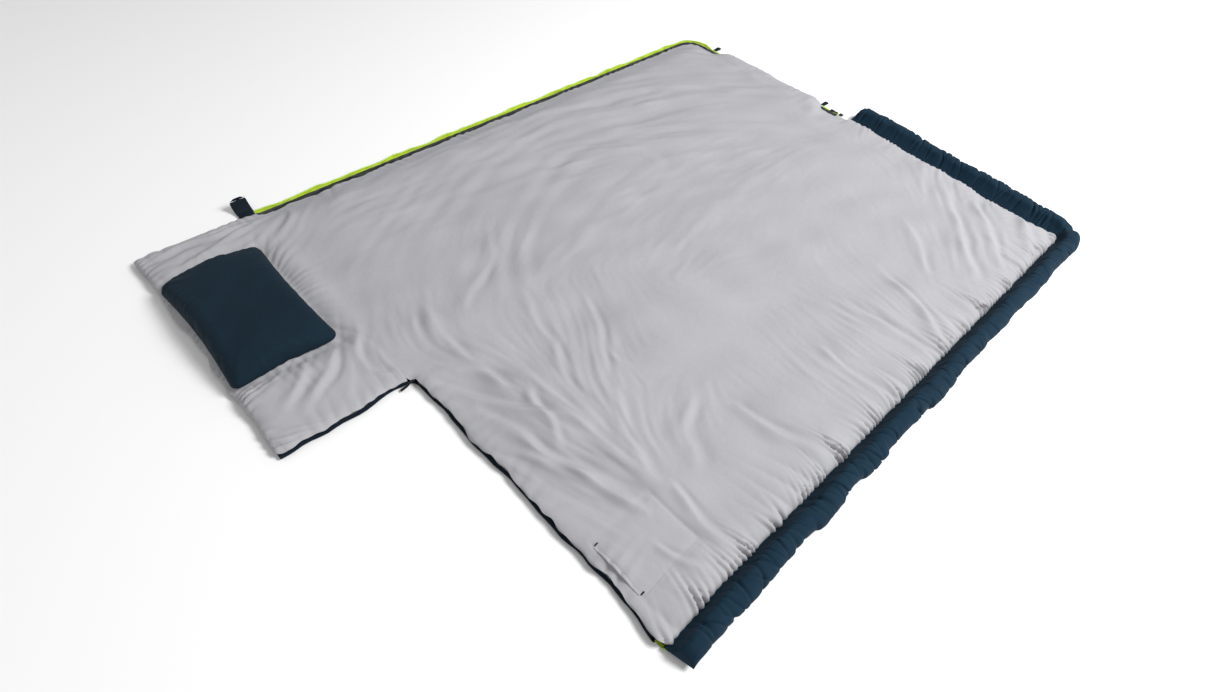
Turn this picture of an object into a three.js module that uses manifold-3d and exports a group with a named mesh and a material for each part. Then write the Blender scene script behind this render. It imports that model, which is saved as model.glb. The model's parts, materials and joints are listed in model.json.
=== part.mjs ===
// A rectangular sleeping bag, unzipped all the way and laid open with its lining up.
// Millimetres, +Z up. While the bag is drawn, +X runs across it from the fold line to the
// draught tube, and +Y runs from the head end to the foot end. The head end's fold corner is at
// (0, 0), and the whole group is centred over its own box at the end.

import * as THREE from 'three';
import { mergeVertices } from 'three/addons/utils/BufferGeometryUtils.js';
import Module from 'manifold-3d';

const wasm = await Module();
wasm.setup();

// ---- driving dimensions ----
const HALF_WIDTH = 835;            // fold line to the zip seam
const BODY_LENGTH = 1960;          // head edge to the foot seam, at the fold
const HOOD_LENGTH = 345;           // head edge to the hood's end
const QUILT_HEIGHT = 31;           // floor to the top of the wadding
const FABRIC = 1;                  // thickness of shell, lining and casings
const GAP = 0.3;                   // clearance between pieces that touch

const SEAM_ALLOWANCE = 9;          // flat margin where the layers are stitched together
const RISE = 61;                   // distance over which the quilt swells to full height
const CORNER_RADIUS = { foot: 110, tube: 70, head: 26, hood: 22 };
const FOOT_SWEEP = 75;             // how far the foot seam falls back at the tube corner
const ARC_STEPS = 8;

const HINGE_LINE = -15;            // where the hood folds up, along Y
const TAPE_WIDTH = 20;
const COIL_WIDTH = 6;
const COIL_HEIGHT = 2.4;
const BAND_INSETS = [1, SEAM_ALLOWANCE, 10, 14];
const BAND_THICKNESS = 0.8;
const FOOT_TAPE_START = { lower: -56, upper: 62 };
const UPPER_TAPE_HEAD = 4;         // where the upper tape starts, in from the head edge

const TUBE = { apex: 9, centre: 58, radius: 30, start: 2, head: 6 };
const PILLOW = { width: 448, depth: 268, crown: 46, x: -440, y: -204, seam: 7 };
const POCKET = { x: 690, inset: 28, width: 146, length: 176, mouth: 128, slit: 3, recess: 2.7 };
const SLIDER = { x: -88, length: 15, plate: 0.9, wall: 2.4, pinRadius: 0.7 };
const PULL = { length: 26, width: 8, thickness: 1.4, side: 1.8 };
const FITTING = { box: 14, pin: 18, inset: 10, overhang: 2, stopLength: 4.5 };
const TAB = { width: 49, end: 3, reach: 62, thickness: 1.6, curl: 30, mostTurn: 1.9 };
const HOOK = { from: 26, to: 58, thickness: 0.8, lift: 1.6, margin: 6 };
const CLOSURE_PATCH = { near: 690, far: 740, head: 12, foot: 38 };
const LOOP = { width: 24, length: 24, strap: 5, thickness: 2, corner: -706, middle: -140 };
const CORNER_STRAP = { near: 2, far: 14, length: 43, low: 0.6, high: 2.2 };
const ELASTIC = { inset: 13, height: 3, radius: 1.5, sides: 8, end: 26 };

const SHELL_TOP = FABRIC;
const TAPE_BASE = SHELL_TOP + GAP;
const TAPE_TOP = TAPE_BASE + FABRIC;
const COIL_BASE = TAPE_TOP + GAP;
const COIL_TOP = COIL_BASE + COIL_HEIGHT;
const LINING_TOP = QUILT_HEIGHT + GAP + FABRIC;
const RING_INSETS = [0, SEAM_ALLOWANCE, 10, 18, 30, 46, SEAM_ALLOWANCE + RISE];

// ---- materials ----
const fabric = (color, roughness) => ({ color, roughness, metalness: 0 });
const FINISH = {
  shell: fabric(0x20323d, 0.8),
  lining: fabric(0xbcbdc1, 0.85),
  wadding: fabric(0xeeeeea, 0.95),
  tube: fabric(0x26404f, 0.75),
  pillow: fabric(0x22333f, 0.8),
  zipTape: fabric(0xb4d63a, 0.7),
  zipCoil: fabric(0xc8e658, 0.45),
  band: fabric(0x14191d, 0.8),
  webbing: fabric(0x1c2c38, 0.7),
  hook: fabric(0x15181b, 0.9),
  plastic: fabric(0x17191c, 0.4),
  elastic: fabric(0xf2f2f0, 0.8),
};

// ---- outlines ----
// A run is an open line of corners with the panel on its right. Its first and last points
// slide along the given directions when the run is moved in from the seam by an inset.

function crossing(pointA, directionA, pointB, directionB) {
  const cross = directionA[0] * directionB[1] - directionA[1] * directionB[0];
  const dx = pointB[0] - pointA[0];
  const dy = pointB[1] - pointA[1];
  const t = (dx * directionB[1] - dy * directionB[0]) / cross;
  return [pointA[0] + directionA[0] * t, pointA[1] + directionA[1] * t];
}

function insetCorners({ corners, slideStart, slideEnd }, inset) {
  const edges = [];
  for (let i = 0; i + 1 < corners.length; i += 1) {
    const [x, y] = corners[i];
    const dx = corners[i + 1][0] - x;
    const dy = corners[i + 1][1] - y;
    const length = Math.hypot(dx, dy);
    const direction = [dx / length, dy / length];
    edges.push({ point: [x + direction[1] * inset, y - direction[0] * inset], direction });
  }
  const last = edges[edges.length - 1];
  const moved = [crossing(edges[0].point, edges[0].direction, corners[0], slideStart)];
  for (let i = 1; i < edges.length; i += 1) {
    moved.push(crossing(edges[i - 1].point, edges[i - 1].direction, edges[i].point, edges[i].direction));
  }
  moved.push(crossing(last.point, last.direction, corners[corners.length - 1], slideEnd));
  return moved;
}

// The run at an inset, with each inner corner rounded about a centre that all insets share.
function runPath(run, inset) {
  const corners = insetCorners(run, inset);
  const path = [corners[0]];
  for (let i = 1; i + 1 < corners.length; i += 1) {
    const before = new THREE.Vector2(...corners[i - 1]).sub(new THREE.Vector2(...corners[i])).normalize();
    const after = new THREE.Vector2(...corners[i + 1]).sub(new THREE.Vector2(...corners[i])).normalize();
    const half = before.angleTo(after) / 2;
    const radius = Math.max(run.radii[i - 1] - inset, 1);
    const reach = radius / Math.sin(half);
    const middle = before.clone().add(after).normalize();
    const centre = new THREE.Vector2(...corners[i]).addScaledVector(middle, reach);
    const firstAngle = Math.atan2(-middle.y, -middle.x) + (Math.PI / 2 - half);
    for (let step = 0; step <= ARC_STEPS; step += 1) {
      const angle = firstAngle - (step / ARC_STEPS) * (Math.PI - 2 * half);
      path.push([centre.x + radius * Math.cos(angle), centre.y + radius * Math.sin(angle)]);
    }
  }
  path.push(corners[corners.length - 1]);
  return path;
}

const ALONG_X = [1, 0];
const ALONG_Y = [0, 1];
const FOLD_GAP = GAP + 0.1;        // clearance on each side of a fold line
const TUBE_CORNER = [HALF_WIDTH, BODY_LENGTH - FOOT_SWEEP];

// The foot seam of the upper half falls back evenly towards the tube corner.
function footSeam(x) {
  return BODY_LENGTH - (FOOT_SWEEP * x) / HALF_WIDTH;
}

const LOWER_RUN = {
  corners: [[-HALF_WIDTH, HINGE_LINE + FOLD_GAP], [-HALF_WIDTH, BODY_LENGTH], [-FOLD_GAP, BODY_LENGTH]],
  radii: [CORNER_RADIUS.foot],
  slideStart: ALONG_X,
  slideEnd: ALONG_Y,
  fixed: [[-FOLD_GAP, HINGE_LINE + FOLD_GAP]],
};
const UPPER_RUN = {
  corners: [[FOLD_GAP, footSeam(0)], TUBE_CORNER, [HALF_WIDTH, 0], [FOLD_GAP, 0]],
  radii: [CORNER_RADIUS.tube, CORNER_RADIUS.head],
  slideStart: ALONG_Y,
  slideEnd: ALONG_Y,
  fixed: [],
};
const HOOD_RUN = {
  corners: [[0, HINGE_LINE - FOLD_GAP], [0, -HOOD_LENGTH], [-HALF_WIDTH, -HOOD_LENGTH],
    [-HALF_WIDTH, HINGE_LINE - FOLD_GAP]],
  radii: [CORNER_RADIUS.hood, CORNER_RADIUS.hood],
  slideStart: ALONG_X,
  slideEnd: ALONG_X,
  fixed: [],
};
const LOWER_ZIP = {
  corners: [[-HALF_WIDTH, 0], [-HALF_WIDTH, BODY_LENGTH], [FOOT_TAPE_START.lower, BODY_LENGTH]],
  radii: [CORNER_RADIUS.foot],
  slideStart: ALONG_X,
  slideEnd: ALONG_Y,
};
const UPPER_ZIP = {
  corners: [
    [FOOT_TAPE_START.upper, footSeam(FOOT_TAPE_START.upper)],
    TUBE_CORNER,
    [HALF_WIDTH, UPPER_TAPE_HEAD],
  ],
  radii: [CORNER_RADIUS.tube],
  slideStart: ALONG_Y,
  slideEnd: ALONG_X,
};
const TUBE_RUN = {
  corners: [[TUBE.start, footSeam(TUBE.start)], TUBE_CORNER, [HALF_WIDTH, TUBE.head]],
  radii: [CORNER_RADIUS.tube],
  slideStart: ALONG_Y,
  slideEnd: ALONG_X,
};
const HOOD_END = {
  corners: [[-ELASTIC.end, -HOOD_LENGTH], [-HALF_WIDTH + ELASTIC.end, -HOOD_LENGTH]],
  radii: [],
  slideStart: ALONG_Y,
  slideEnd: ALONG_Y,
};

// ---- solid builders ----
function triangulate(contour) {
  const points = contour.map(([x, y]) => new THREE.Vector2(x, y));
  return THREE.ShapeUtils.triangulateShape(points, []).map(([a, b, c]) => {
    const turn = (points[b].x - points[a].x) * (points[c].y - points[a].y)
      - (points[b].y - points[a].y) * (points[c].x - points[a].x);
    return turn > 0 ? [a, b, c] : [a, c, b];
  });
}

function geometryFrom(positions, triangles) {
  const geometry = new THREE.BufferGeometry();
  geometry.setAttribute('position', new THREE.Float32BufferAttribute(positions.flat(), 3));
  geometry.setIndex(triangles.flat());
  geometry.computeVertexNormals();
  return geometry;
}

// One fabric or wadding layer of a panel. lower(inset) and upper(inset) are its two heights.
function panelLayer(run, insets, lower, upper) {
  const rings = insets.map((inset) => runPath(run, inset));
  const count = rings[0].length;
  const innermost = rings.length - 1;
  const positions = [];
  for (const height of [lower, upper]) {
    rings.forEach((ring, k) => ring.forEach(([x, y]) => positions.push([x, y, height(insets[k])])));
    run.fixed.forEach(([x, y]) => positions.push([x, y, height(insets[innermost])]));
  }
  const sideSize = rings.length * count + run.fixed.length;
  const at = (side, k, i) => side * sideSize + k * count + i;
  const fixedAt = (side, j) => side * sideSize + rings.length * count + j;
  const triangles = [];

  for (let k = 0; k < innermost; k += 1) {
    for (let i = 0; i + 1 < count; i += 1) {
      triangles.push([at(1, k, i), at(1, k + 1, i), at(1, k + 1, i + 1)]);
      triangles.push([at(1, k, i), at(1, k + 1, i + 1), at(1, k, i + 1)]);
      triangles.push([at(0, k, i), at(0, k + 1, i + 1), at(0, k + 1, i)]);
      triangles.push([at(0, k, i), at(0, k, i + 1), at(0, k + 1, i + 1)]);
    }
  }
  const middle = [...rings[innermost], ...run.fixed];
  const middleAt = (side, i) => (i < count ? at(side, innermost, i) : fixedAt(side, i - count));
  for (const [a, b, c] of triangulate(middle)) {
    triangles.push([middleAt(1, a), middleAt(1, b), middleAt(1, c)]);
    triangles.push([middleAt(0, a), middleAt(0, c), middleAt(0, b)]);
  }
  const rim = [];
  for (let i = 0; i < count; i += 1) rim.push((side) => at(side, 0, i));
  for (let k = 1; k <= innermost; k += 1) rim.push((side) => at(side, k, count - 1));
  for (let j = 0; j < run.fixed.length; j += 1) rim.push((side) => fixedAt(side, j));
  for (let k = innermost; k >= 1; k -= 1) rim.push((side) => at(side, k, 0));
  rim.forEach((here, n) => {
    const next = rim[(n + 1) % rim.length];
    triangles.push([here(0), here(1), next(1)]);
    triangles.push([here(0), next(1), next(0)]);
  });
  return geometryFrom(positions, triangles);
}

// A closed section of [inset, height] points carried along a stretch of a run. The section is
// listed anticlockwise when inset grows to the right.
function sweepAlong(run, section, first = 0, last = Infinity, pathOf = runPath) {
  const paths = section.map(([inset]) => pathOf(run, inset).slice(first, last));
  const steps = paths[0].length;
  const size = section.length;
  const positions = [];
  for (let i = 0; i < steps; i += 1) {
    section.forEach(([, height], j) => positions.push([...paths[j][i], height]));
  }
  const triangles = [];
  for (let i = 0; i + 1 < steps; i += 1) {
    for (let j = 0; j < size; j += 1) {
      const next = (j + 1) % size;
      triangles.push([i * size + j, (i + 1) * size + next, i * size + next]);
      triangles.push([i * size + j, (i + 1) * size + j, (i + 1) * size + next]);
    }
  }
  const end = (steps - 1) * size;
  for (const [a, b, c] of triangulate(section)) {
    triangles.push([a, b, c]);
    triangles.push([end + a, end + c, end + b]);
  }
  return geometryFrom(positions, triangles);
}

function rectangleSection(insetA, insetB, heightA, heightB) {
  return [[insetA, heightA], [insetB, heightA], [insetB, heightB], [insetA, heightB]];
}

// A flat outline in X and Z, carried along Y from yStart over the given length.
function extrudeAlongY(outline, yStart, length) {
  const shape = new THREE.Shape(outline.map(([x, z]) => new THREE.Vector2(x, z)));
  const geometry = new THREE.ExtrudeGeometry(shape, { depth: length, bevelEnabled: false });
  geometry.rotateX(Math.PI / 2);
  geometry.translate(0, yStart + length, 0);
  return geometry;
}

function block(xA, xB, yA, yB, zA, zB) {
  const geometry = new THREE.BoxGeometry(xB - xA, yB - yA, zB - zA);
  return geometry.translate((xA + xB) / 2, (yA + yB) / 2, (zA + zB) / 2);
}

function toManifold(geometry) {
  const bare = geometry.clone();
  bare.deleteAttribute('normal');
  bare.deleteAttribute('uv');
  const merged = mergeVertices(bare, 1e-4);
  return new wasm.Manifold(new wasm.Mesh({
    numProp: 3,
    vertProperties: new Float32Array(merged.attributes.position.array),
    triVerts: new Uint32Array(merged.index.array),
  }));
}

function fromManifold(solid) {
  const mesh = solid.getMesh();
  const geometry = new THREE.BufferGeometry();
  geometry.setAttribute('position', new THREE.BufferAttribute(new Float32Array(mesh.vertProperties), 3));
  geometry.setIndex(new THREE.BufferAttribute(new Uint32Array(mesh.triVerts), 1));
  geometry.computeVertexNormals();
  return geometry;
}

function cut(geometry, ...tools) {
  return fromManifold(tools.reduce((solid, tool) => solid.subtract(toManifold(tool)), toManifold(geometry)));
}

function join(...pieces) {
  return fromManifold(pieces.map(toManifold).reduce((solid, piece) => solid.add(piece)));
}

function place(name, geometry, finish) {
  const mesh = new THREE.Mesh(geometry, new THREE.MeshStandardMaterial(finish));
  mesh.name = name;
  return mesh;
}

// ---- quilted panels ----
// How full the quilt is at a distance in from the seam: 0 at the stitching, 1 in the middle.
function fullness(inset) {
  const travelled = Math.min(Math.max((inset - SEAM_ALLOWANCE) / RISE, 0), 1);
  return Math.sin((travelled * Math.PI) / 2);
}

const SWELL = QUILT_HEIGHT - TAPE_TOP;
const waddingTop = (inset) => TAPE_TOP + SWELL * fullness(inset);
const liningBase = (inset) => waddingTop(inset) + GAP;
const liningTop = (inset) => liningBase(inset) + FABRIC;

// The lining's height between two rings, where its surface is a straight slope.
function liningTopAt(inset) {
  const k = RING_INSETS.findIndex((ring) => ring >= inset);
  if (k < 1) return liningTop(k < 0 ? SEAM_ALLOWANCE + RISE : inset);
  const share = (inset - RING_INSETS[k - 1]) / (RING_INSETS[k] - RING_INSETS[k - 1]);
  return THREE.MathUtils.lerp(liningTop(RING_INSETS[k - 1]), liningTop(RING_INSETS[k]), share);
}

function shellLayer(run) {
  return panelLayer(run, [0], () => 0, () => SHELL_TOP);
}

function waddingLayer(run, insets) {
  return panelLayer(run, insets, () => SHELL_TOP + GAP, waddingTop);
}

function liningLayer(run) {
  return panelLayer(run, RING_INSETS, liningBase, liningTop);
}

const WADDING_INSETS = RING_INSETS.slice(2);
const HOOD_WADDING_INSETS = RING_INSETS.slice(3);

// ---- pocket in the upper half's lining ----
// A patch along the head edge, between two heights measured from the lining's upper face.
function headPatch(xA, xB, insetA, insetB, low, high) {
  const insets = [insetA, ...RING_INSETS.filter((ring) => ring > insetA && ring < insetB), insetB];
  const section = [
    ...insets.map((inset) => [inset, liningTopAt(inset) + low]),
    ...insets.reverse().map((inset) => [inset, liningTopAt(inset) + high]),
  ];
  const run = { corners: [[xB, 0], [xA, 0]], radii: [], slideStart: ALONG_Y, slideEnd: ALONG_Y };
  return sweepAlong(run, section);
}

const WADDING_FACE = -FABRIC - GAP;
const POCKET_MOUTH_INSET = POCKET.inset + 6;

// The bag lies in a shallow recess in the wadding, and both stay just under the lining.
function pocketBag(grow, low, high) {
  const reach = POCKET.width / 2 + grow;
  return headPatch(POCKET.x - reach, POCKET.x + reach, POCKET.inset - grow,
    POCKET.inset + POCKET.length + grow, WADDING_FACE + low, WADDING_FACE + high);
}

function pocketSlit() {
  const reach = POCKET.mouth / 2;
  return block(POCKET.x - reach, POCKET.x + reach, POCKET_MOUTH_INSET,
    POCKET_MOUTH_INSET + POCKET.slit, SHELL_TOP, LINING_TOP + 1);
}

function barTack(side) {
  const x = POCKET.x + side * (POCKET.mouth / 2 + 2);
  return headPatch(x - 1, x + 1, POCKET_MOUTH_INSET - 3, POCKET_MOUTH_INSET + POCKET.slit + 3, GAP, 0.9);
}

function pocketEdging() {
  const reach = POCKET.mouth / 2;
  return headPatch(POCKET.x - reach, POCKET.x + reach, POCKET_MOUTH_INSET - 9,
    POCKET_MOUTH_INSET - 0.5, GAP, 0.8);
}

// ---- draught tube ----
// A teardrop section: a circle and the two straight sides that run from it to the seam.
function teardrop(apexInset, apexHeight, radius, steps) {
  const centre = [-TUBE.centre, TUBE.radius + 2];
  const dx = apexInset - centre[0];
  const dz = apexHeight - centre[1];
  const toApex = Math.atan2(dz, dx);
  const spread = Math.acos(radius / Math.hypot(dx, dz));
  const points = [];
  for (let step = 0; step <= steps; step += 1) {
    const angle = toApex + spread + (step / steps) * (2 * Math.PI - 2 * spread);
    points.push([centre[0] + radius * Math.cos(angle), centre[1] + radius * Math.sin(angle)]);
  }
  return points;
}

const TUBE_STEPS = 18;

// The casing is one strip of fabric: it leaves the seam, goes round the filling and comes back.
// Its two ends lie one over the other at the seam, a little apart.
function tubeCasingSection() {
  const outer = teardrop(0, TUBE.apex, TUBE.radius, TUBE_STEPS);
  const inner = teardrop(-3, TUBE.apex, TUBE.radius - FABRIC, TUBE_STEPS).reverse();
  return [[5, 5.4], [0.6, TUBE.apex + 1], ...outer, [-0.6, TUBE.apex - 0.9], [-3.6, TUBE.apex - 0.3],
    ...inner, [-3.4, TUBE.apex + 0.5], [-0.4, TUBE.apex + 0.2], [4, 4.1]];
}

function tubeFillingSection() {
  return [[-9, TUBE.apex + 0.6], ...teardrop(-8, TUBE.apex + 0.2, TUBE.radius - FABRIC - GAP, TUBE_STEPS)];
}

// The foot stretch ends just short of the corner, which belongs to the side stretch.
function footTubePath(run, inset) {
  const path = runPath(run, inset).slice(0, 2);
  const back = new THREE.Vector2(path[0][0] - path[1][0], path[0][1] - path[1][1]).normalize();
  path[1] = [path[1][0] + back.x * 2 * GAP, path[1][1] + back.y * 2 * GAP];
  return path;
}

// ---- pillow ----
// The crown over a pillow-shaped plan whose sides pull in between the corners.
function pillowPoint(u, v, shrink) {
  const halfWidth = PILLOW.width / 2 - shrink;
  const halfDepth = PILLOW.depth / 2 - shrink;
  const x = PILLOW.x + halfWidth * u * (1 - 0.035 * (1 - v * v));
  const y = PILLOW.y + halfDepth * v * (1 - 0.05 * (1 - u * u));
  return [x, y];
}

function pillowCrown(u, v) {
  return Math.pow((1 - u ** 4) * (1 - v ** 4), 0.6);
}

function pillowLayer(shrink, lower, upper, columns = 14, rows = 10) {
  const positions = [];
  for (const height of [lower, upper]) {
    for (let r = 0; r <= rows; r += 1) {
      for (let c = 0; c <= columns; c += 1) {
        const u = Math.sin(((2 * c) / columns - 1) * (Math.PI / 2));
        const v = Math.sin(((2 * r) / rows - 1) * (Math.PI / 2));
        positions.push([...pillowPoint(u, v, shrink), height(pillowCrown(u, v))]);
      }
    }
  }
  const at = (side, r, c) => side * (rows + 1) * (columns + 1) + r * (columns + 1) + c;
  const triangles = [];
  for (let r = 0; r < rows; r += 1) {
    for (let c = 0; c < columns; c += 1) {
      triangles.push([at(1, r, c), at(1, r, c + 1), at(1, r + 1, c + 1)]);
      triangles.push([at(1, r, c), at(1, r + 1, c + 1), at(1, r + 1, c)]);
      triangles.push([at(0, r, c), at(0, r + 1, c + 1), at(0, r, c + 1)]);
      triangles.push([at(0, r, c), at(0, r + 1, c), at(0, r + 1, c + 1)]);
    }
  }
  const rim = [];
  for (let c = 0; c < columns; c += 1) rim.push([0, c]);
  for (let r = 0; r < rows; r += 1) rim.push([r, columns]);
  for (let c = columns; c > 0; c -= 1) rim.push([rows, c]);
  for (let r = rows; r > 0; r -= 1) rim.push([r, 0]);
  rim.forEach(([r, c], n) => {
    const [nextR, nextC] = rim[(n + 1) % rim.length];
    triangles.push([at(0, r, c), at(0, nextR, nextC), at(1, nextR, nextC)]);
    triangles.push([at(0, r, c), at(1, nextR, nextC), at(1, r, c)]);
  });
  return geometryFrom(positions, triangles);
}

const PILLOW_BASE = LINING_TOP + GAP;
const PILLOW_SEAM = PILLOW_BASE + FABRIC + GAP;

// ---- zip slider, pull and end fittings ----
const ZIP_OUTER = BODY_LENGTH + TAPE_WIDTH;
const PIN_HEIGHT = COIL_TOP + GAP + SLIDER.plate + 1.5;

function sliderBody() {
  const left = SLIDER.x - SLIDER.length / 2;
  const right = SLIDER.x + SLIDER.length / 2;
  const inner = BODY_LENGTH + 3;
  const outer = ZIP_OUTER + GAP + SLIDER.wall;
  const roof = COIL_TOP + GAP;
  const middle = (inner + outer) / 2;
  const hole = new THREE.CylinderGeometry(SLIDER.pinRadius + GAP, SLIDER.pinRadius + GAP, 8, 16);
  hole.translate(SLIDER.x, middle, PIN_HEIGHT);
  const body = join(
    block(left, right, inner, outer, 0.15, TAPE_BASE - GAP),
    block(left, right, inner, outer, roof, roof + SLIDER.plate),
    block(left, right, ZIP_OUTER + GAP, outer, 0.5, roof + 0.5),
    block(SLIDER.x - 2.6, SLIDER.x + 2.6, middle - 1.5, middle + 1.5, roof + 0.5, PIN_HEIGHT + 1.7),
  );
  return cut(body, hole);
}

function pullTab() {
  const middle = (BODY_LENGTH + 3 + ZIP_OUTER + GAP + SLIDER.wall) / 2;
  const halfWidth = PULL.width / 2;
  const low = PIN_HEIGHT - PULL.thickness / 2;
  const high = PIN_HEIGHT + PULL.thickness / 2;
  const window = halfWidth - PULL.side;
  const pin = new THREE.CylinderGeometry(SLIDER.pinRadius, SLIDER.pinRadius, PULL.width - 1, 16);
  pin.translate(SLIDER.x, middle, PIN_HEIGHT);
  const grip = new THREE.CylinderGeometry(halfWidth, halfWidth, PULL.thickness, 24);
  grip.rotateX(Math.PI / 2);
  grip.translate(SLIDER.x + PULL.length, middle, PIN_HEIGHT);
  return join(
    block(SLIDER.x - 0.7, SLIDER.x + 6, middle - halfWidth, middle - window, low, high),
    block(SLIDER.x - 0.7, SLIDER.x + 6, middle + window, middle + halfWidth, low, high),
    block(SLIDER.x + 5, SLIDER.x + PULL.length, middle - halfWidth, middle + halfWidth, low, high),
    grip,
    pin,
  );
}

// A moulded block on the end of a tape, at the foot end of the zip.
function footFitting(xA, xB) {
  const seam = Math.max(footSeam(xA), footSeam(xB), xA < 0 ? BODY_LENGTH : 0);
  return block(xA, xB, seam + FITTING.inset, seam + TAPE_WIDTH + FITTING.overhang, 0.2, COIL_TOP + 0.4);
}

function topStop(x) {
  const reach = COIL_WIDTH / 2 + 0.6;
  return block(x - reach, x + reach, -FITTING.stopLength, -GAP, TAPE_BASE, COIL_TOP);
}

// ---- closure tab, loops ----
// A thin strip that follows a line of [x, z] points, as an outline.
function stripOutline(points, thickness) {
  const above = [];
  const below = [];
  points.forEach(([x, z], i) => {
    const before = points[Math.max(i - 1, 0)];
    const after = points[Math.min(i + 1, points.length - 1)];
    const length = Math.hypot(after[0] - before[0], after[1] - before[1]);
    const nx = (-(after[1] - before[1]) / length) * (thickness / 2);
    const nz = ((after[0] - before[0]) / length) * (thickness / 2);
    above.push([x + nx, z + nz]);
    below.push([x - nx, z - nz]);
  });
  return [...below, ...above.reverse()];
}

const TAB_HINGE_X = -HALF_WIDTH - TAPE_WIDTH - 2;
const TAB_HINGE_Z = 4;

// The tab leaves the seam level and curls upwards on a growing arc.
function tabLine(from, to, lift) {
  const points = [];
  const steps = 10;
  for (let step = 0; step <= steps; step += 1) {
    const along = from + ((to - from) * step) / steps;
    const turn = Math.min((1.5 * along) / TAB.reach, TAB.mostTurn);
    const x = TAB_HINGE_X - 3 - TAB.curl * Math.sin(turn);
    const z = TAB_HINGE_Z + TAB.curl * (1 - Math.cos(turn));
    points.push([x + lift, z + lift * 0.4]);
  }
  return points;
}

// The loops stand just outside the slider's path.
const LOOP_Y = ZIP_OUTER + GAP + SLIDER.wall + 0.5;

function hangLoop(x, y) {
  const outer = new THREE.Shape();
  const halfWidth = LOOP.width / 2;
  outer.moveTo(-halfWidth, 0);
  outer.lineTo(halfWidth, 0);
  outer.lineTo(halfWidth, LOOP.length - halfWidth);
  outer.absarc(0, LOOP.length - halfWidth, halfWidth, 0, Math.PI, false);
  const eye = new THREE.Path();
  const eyeRadius = halfWidth - LOOP.strap;
  eye.moveTo(-eyeRadius, LOOP.strap);
  eye.lineTo(-eyeRadius, LOOP.length - halfWidth);
  eye.absarc(0, LOOP.length - halfWidth, eyeRadius, Math.PI, 0, true);
  eye.lineTo(eyeRadius, LOOP.strap);
  outer.holes.push(eye);
  const geometry = new THREE.ExtrudeGeometry(outer, {
    depth: LOOP.thickness, bevelEnabled: false, curveSegments: 8,
  });
  return geometry.translate(x, y, TAPE_BASE);
}

// ---- the assembly ----
function lowerHalf() {
  const tape = rectangleSection(-TAPE_WIDTH, SEAM_ALLOWANCE - 1, TAPE_BASE, TAPE_TOP);
  const coil = rectangleSection(-TAPE_WIDTH, COIL_WIDTH - TAPE_WIDTH, COIL_BASE, COIL_TOP);
  const band = [
    ...BAND_INSETS.map((inset) => [inset, liningTopAt(inset) + GAP]),
    ...BAND_INSETS.slice().reverse().map((inset) => [inset, liningTopAt(inset) + GAP + BAND_THICKNESS]),
  ];
  const boxStart = FOOT_TAPE_START.lower;
  const tabBase = block(TAB_HINGE_X, -HALF_WIDTH - 0.6, TAB.end - TAB.width, -5, TAPE_BASE, TAPE_TOP);
  const strap = block(CORNER_STRAP.near, CORNER_STRAP.far, -CORNER_STRAP.length, -FOLD_GAP,
    CORNER_STRAP.low, CORNER_STRAP.high);
  return [
    place('shell_bottom', shellLayer(LOWER_RUN), FINISH.shell),
    place('wadding_bottom', waddingLayer(LOWER_RUN, WADDING_INSETS), FINISH.wadding),
    place('lining_bottom', liningLayer(LOWER_RUN), FINISH.lining),
    place('zip_tape_bottom', sweepAlong(LOWER_ZIP, tape), FINISH.zipTape),
    place('zip_coil_bottom', sweepAlong(LOWER_ZIP, coil), FINISH.zipCoil),
    place('anti_snag_tape', sweepAlong(LOWER_ZIP, band), FINISH.band),
    place('zip_box', footFitting(boxStart + GAP, boxStart + FITTING.box), FINISH.plastic),
    place('zip_stop_bottom', topStop(-HALF_WIDTH - TAPE_WIDTH + COIL_WIDTH / 2), FINISH.plastic),
    place('closure_tab_base', tabBase, FINISH.webbing),
    place('hang_loop_corner', hangLoop(LOOP.corner, LOOP_Y), FINISH.webbing),
    place('hang_loop_middle', hangLoop(LOOP.middle, LOOP_Y), FINISH.webbing),
    place('corner_strap', strap, FINISH.band),
  ];
}

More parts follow.
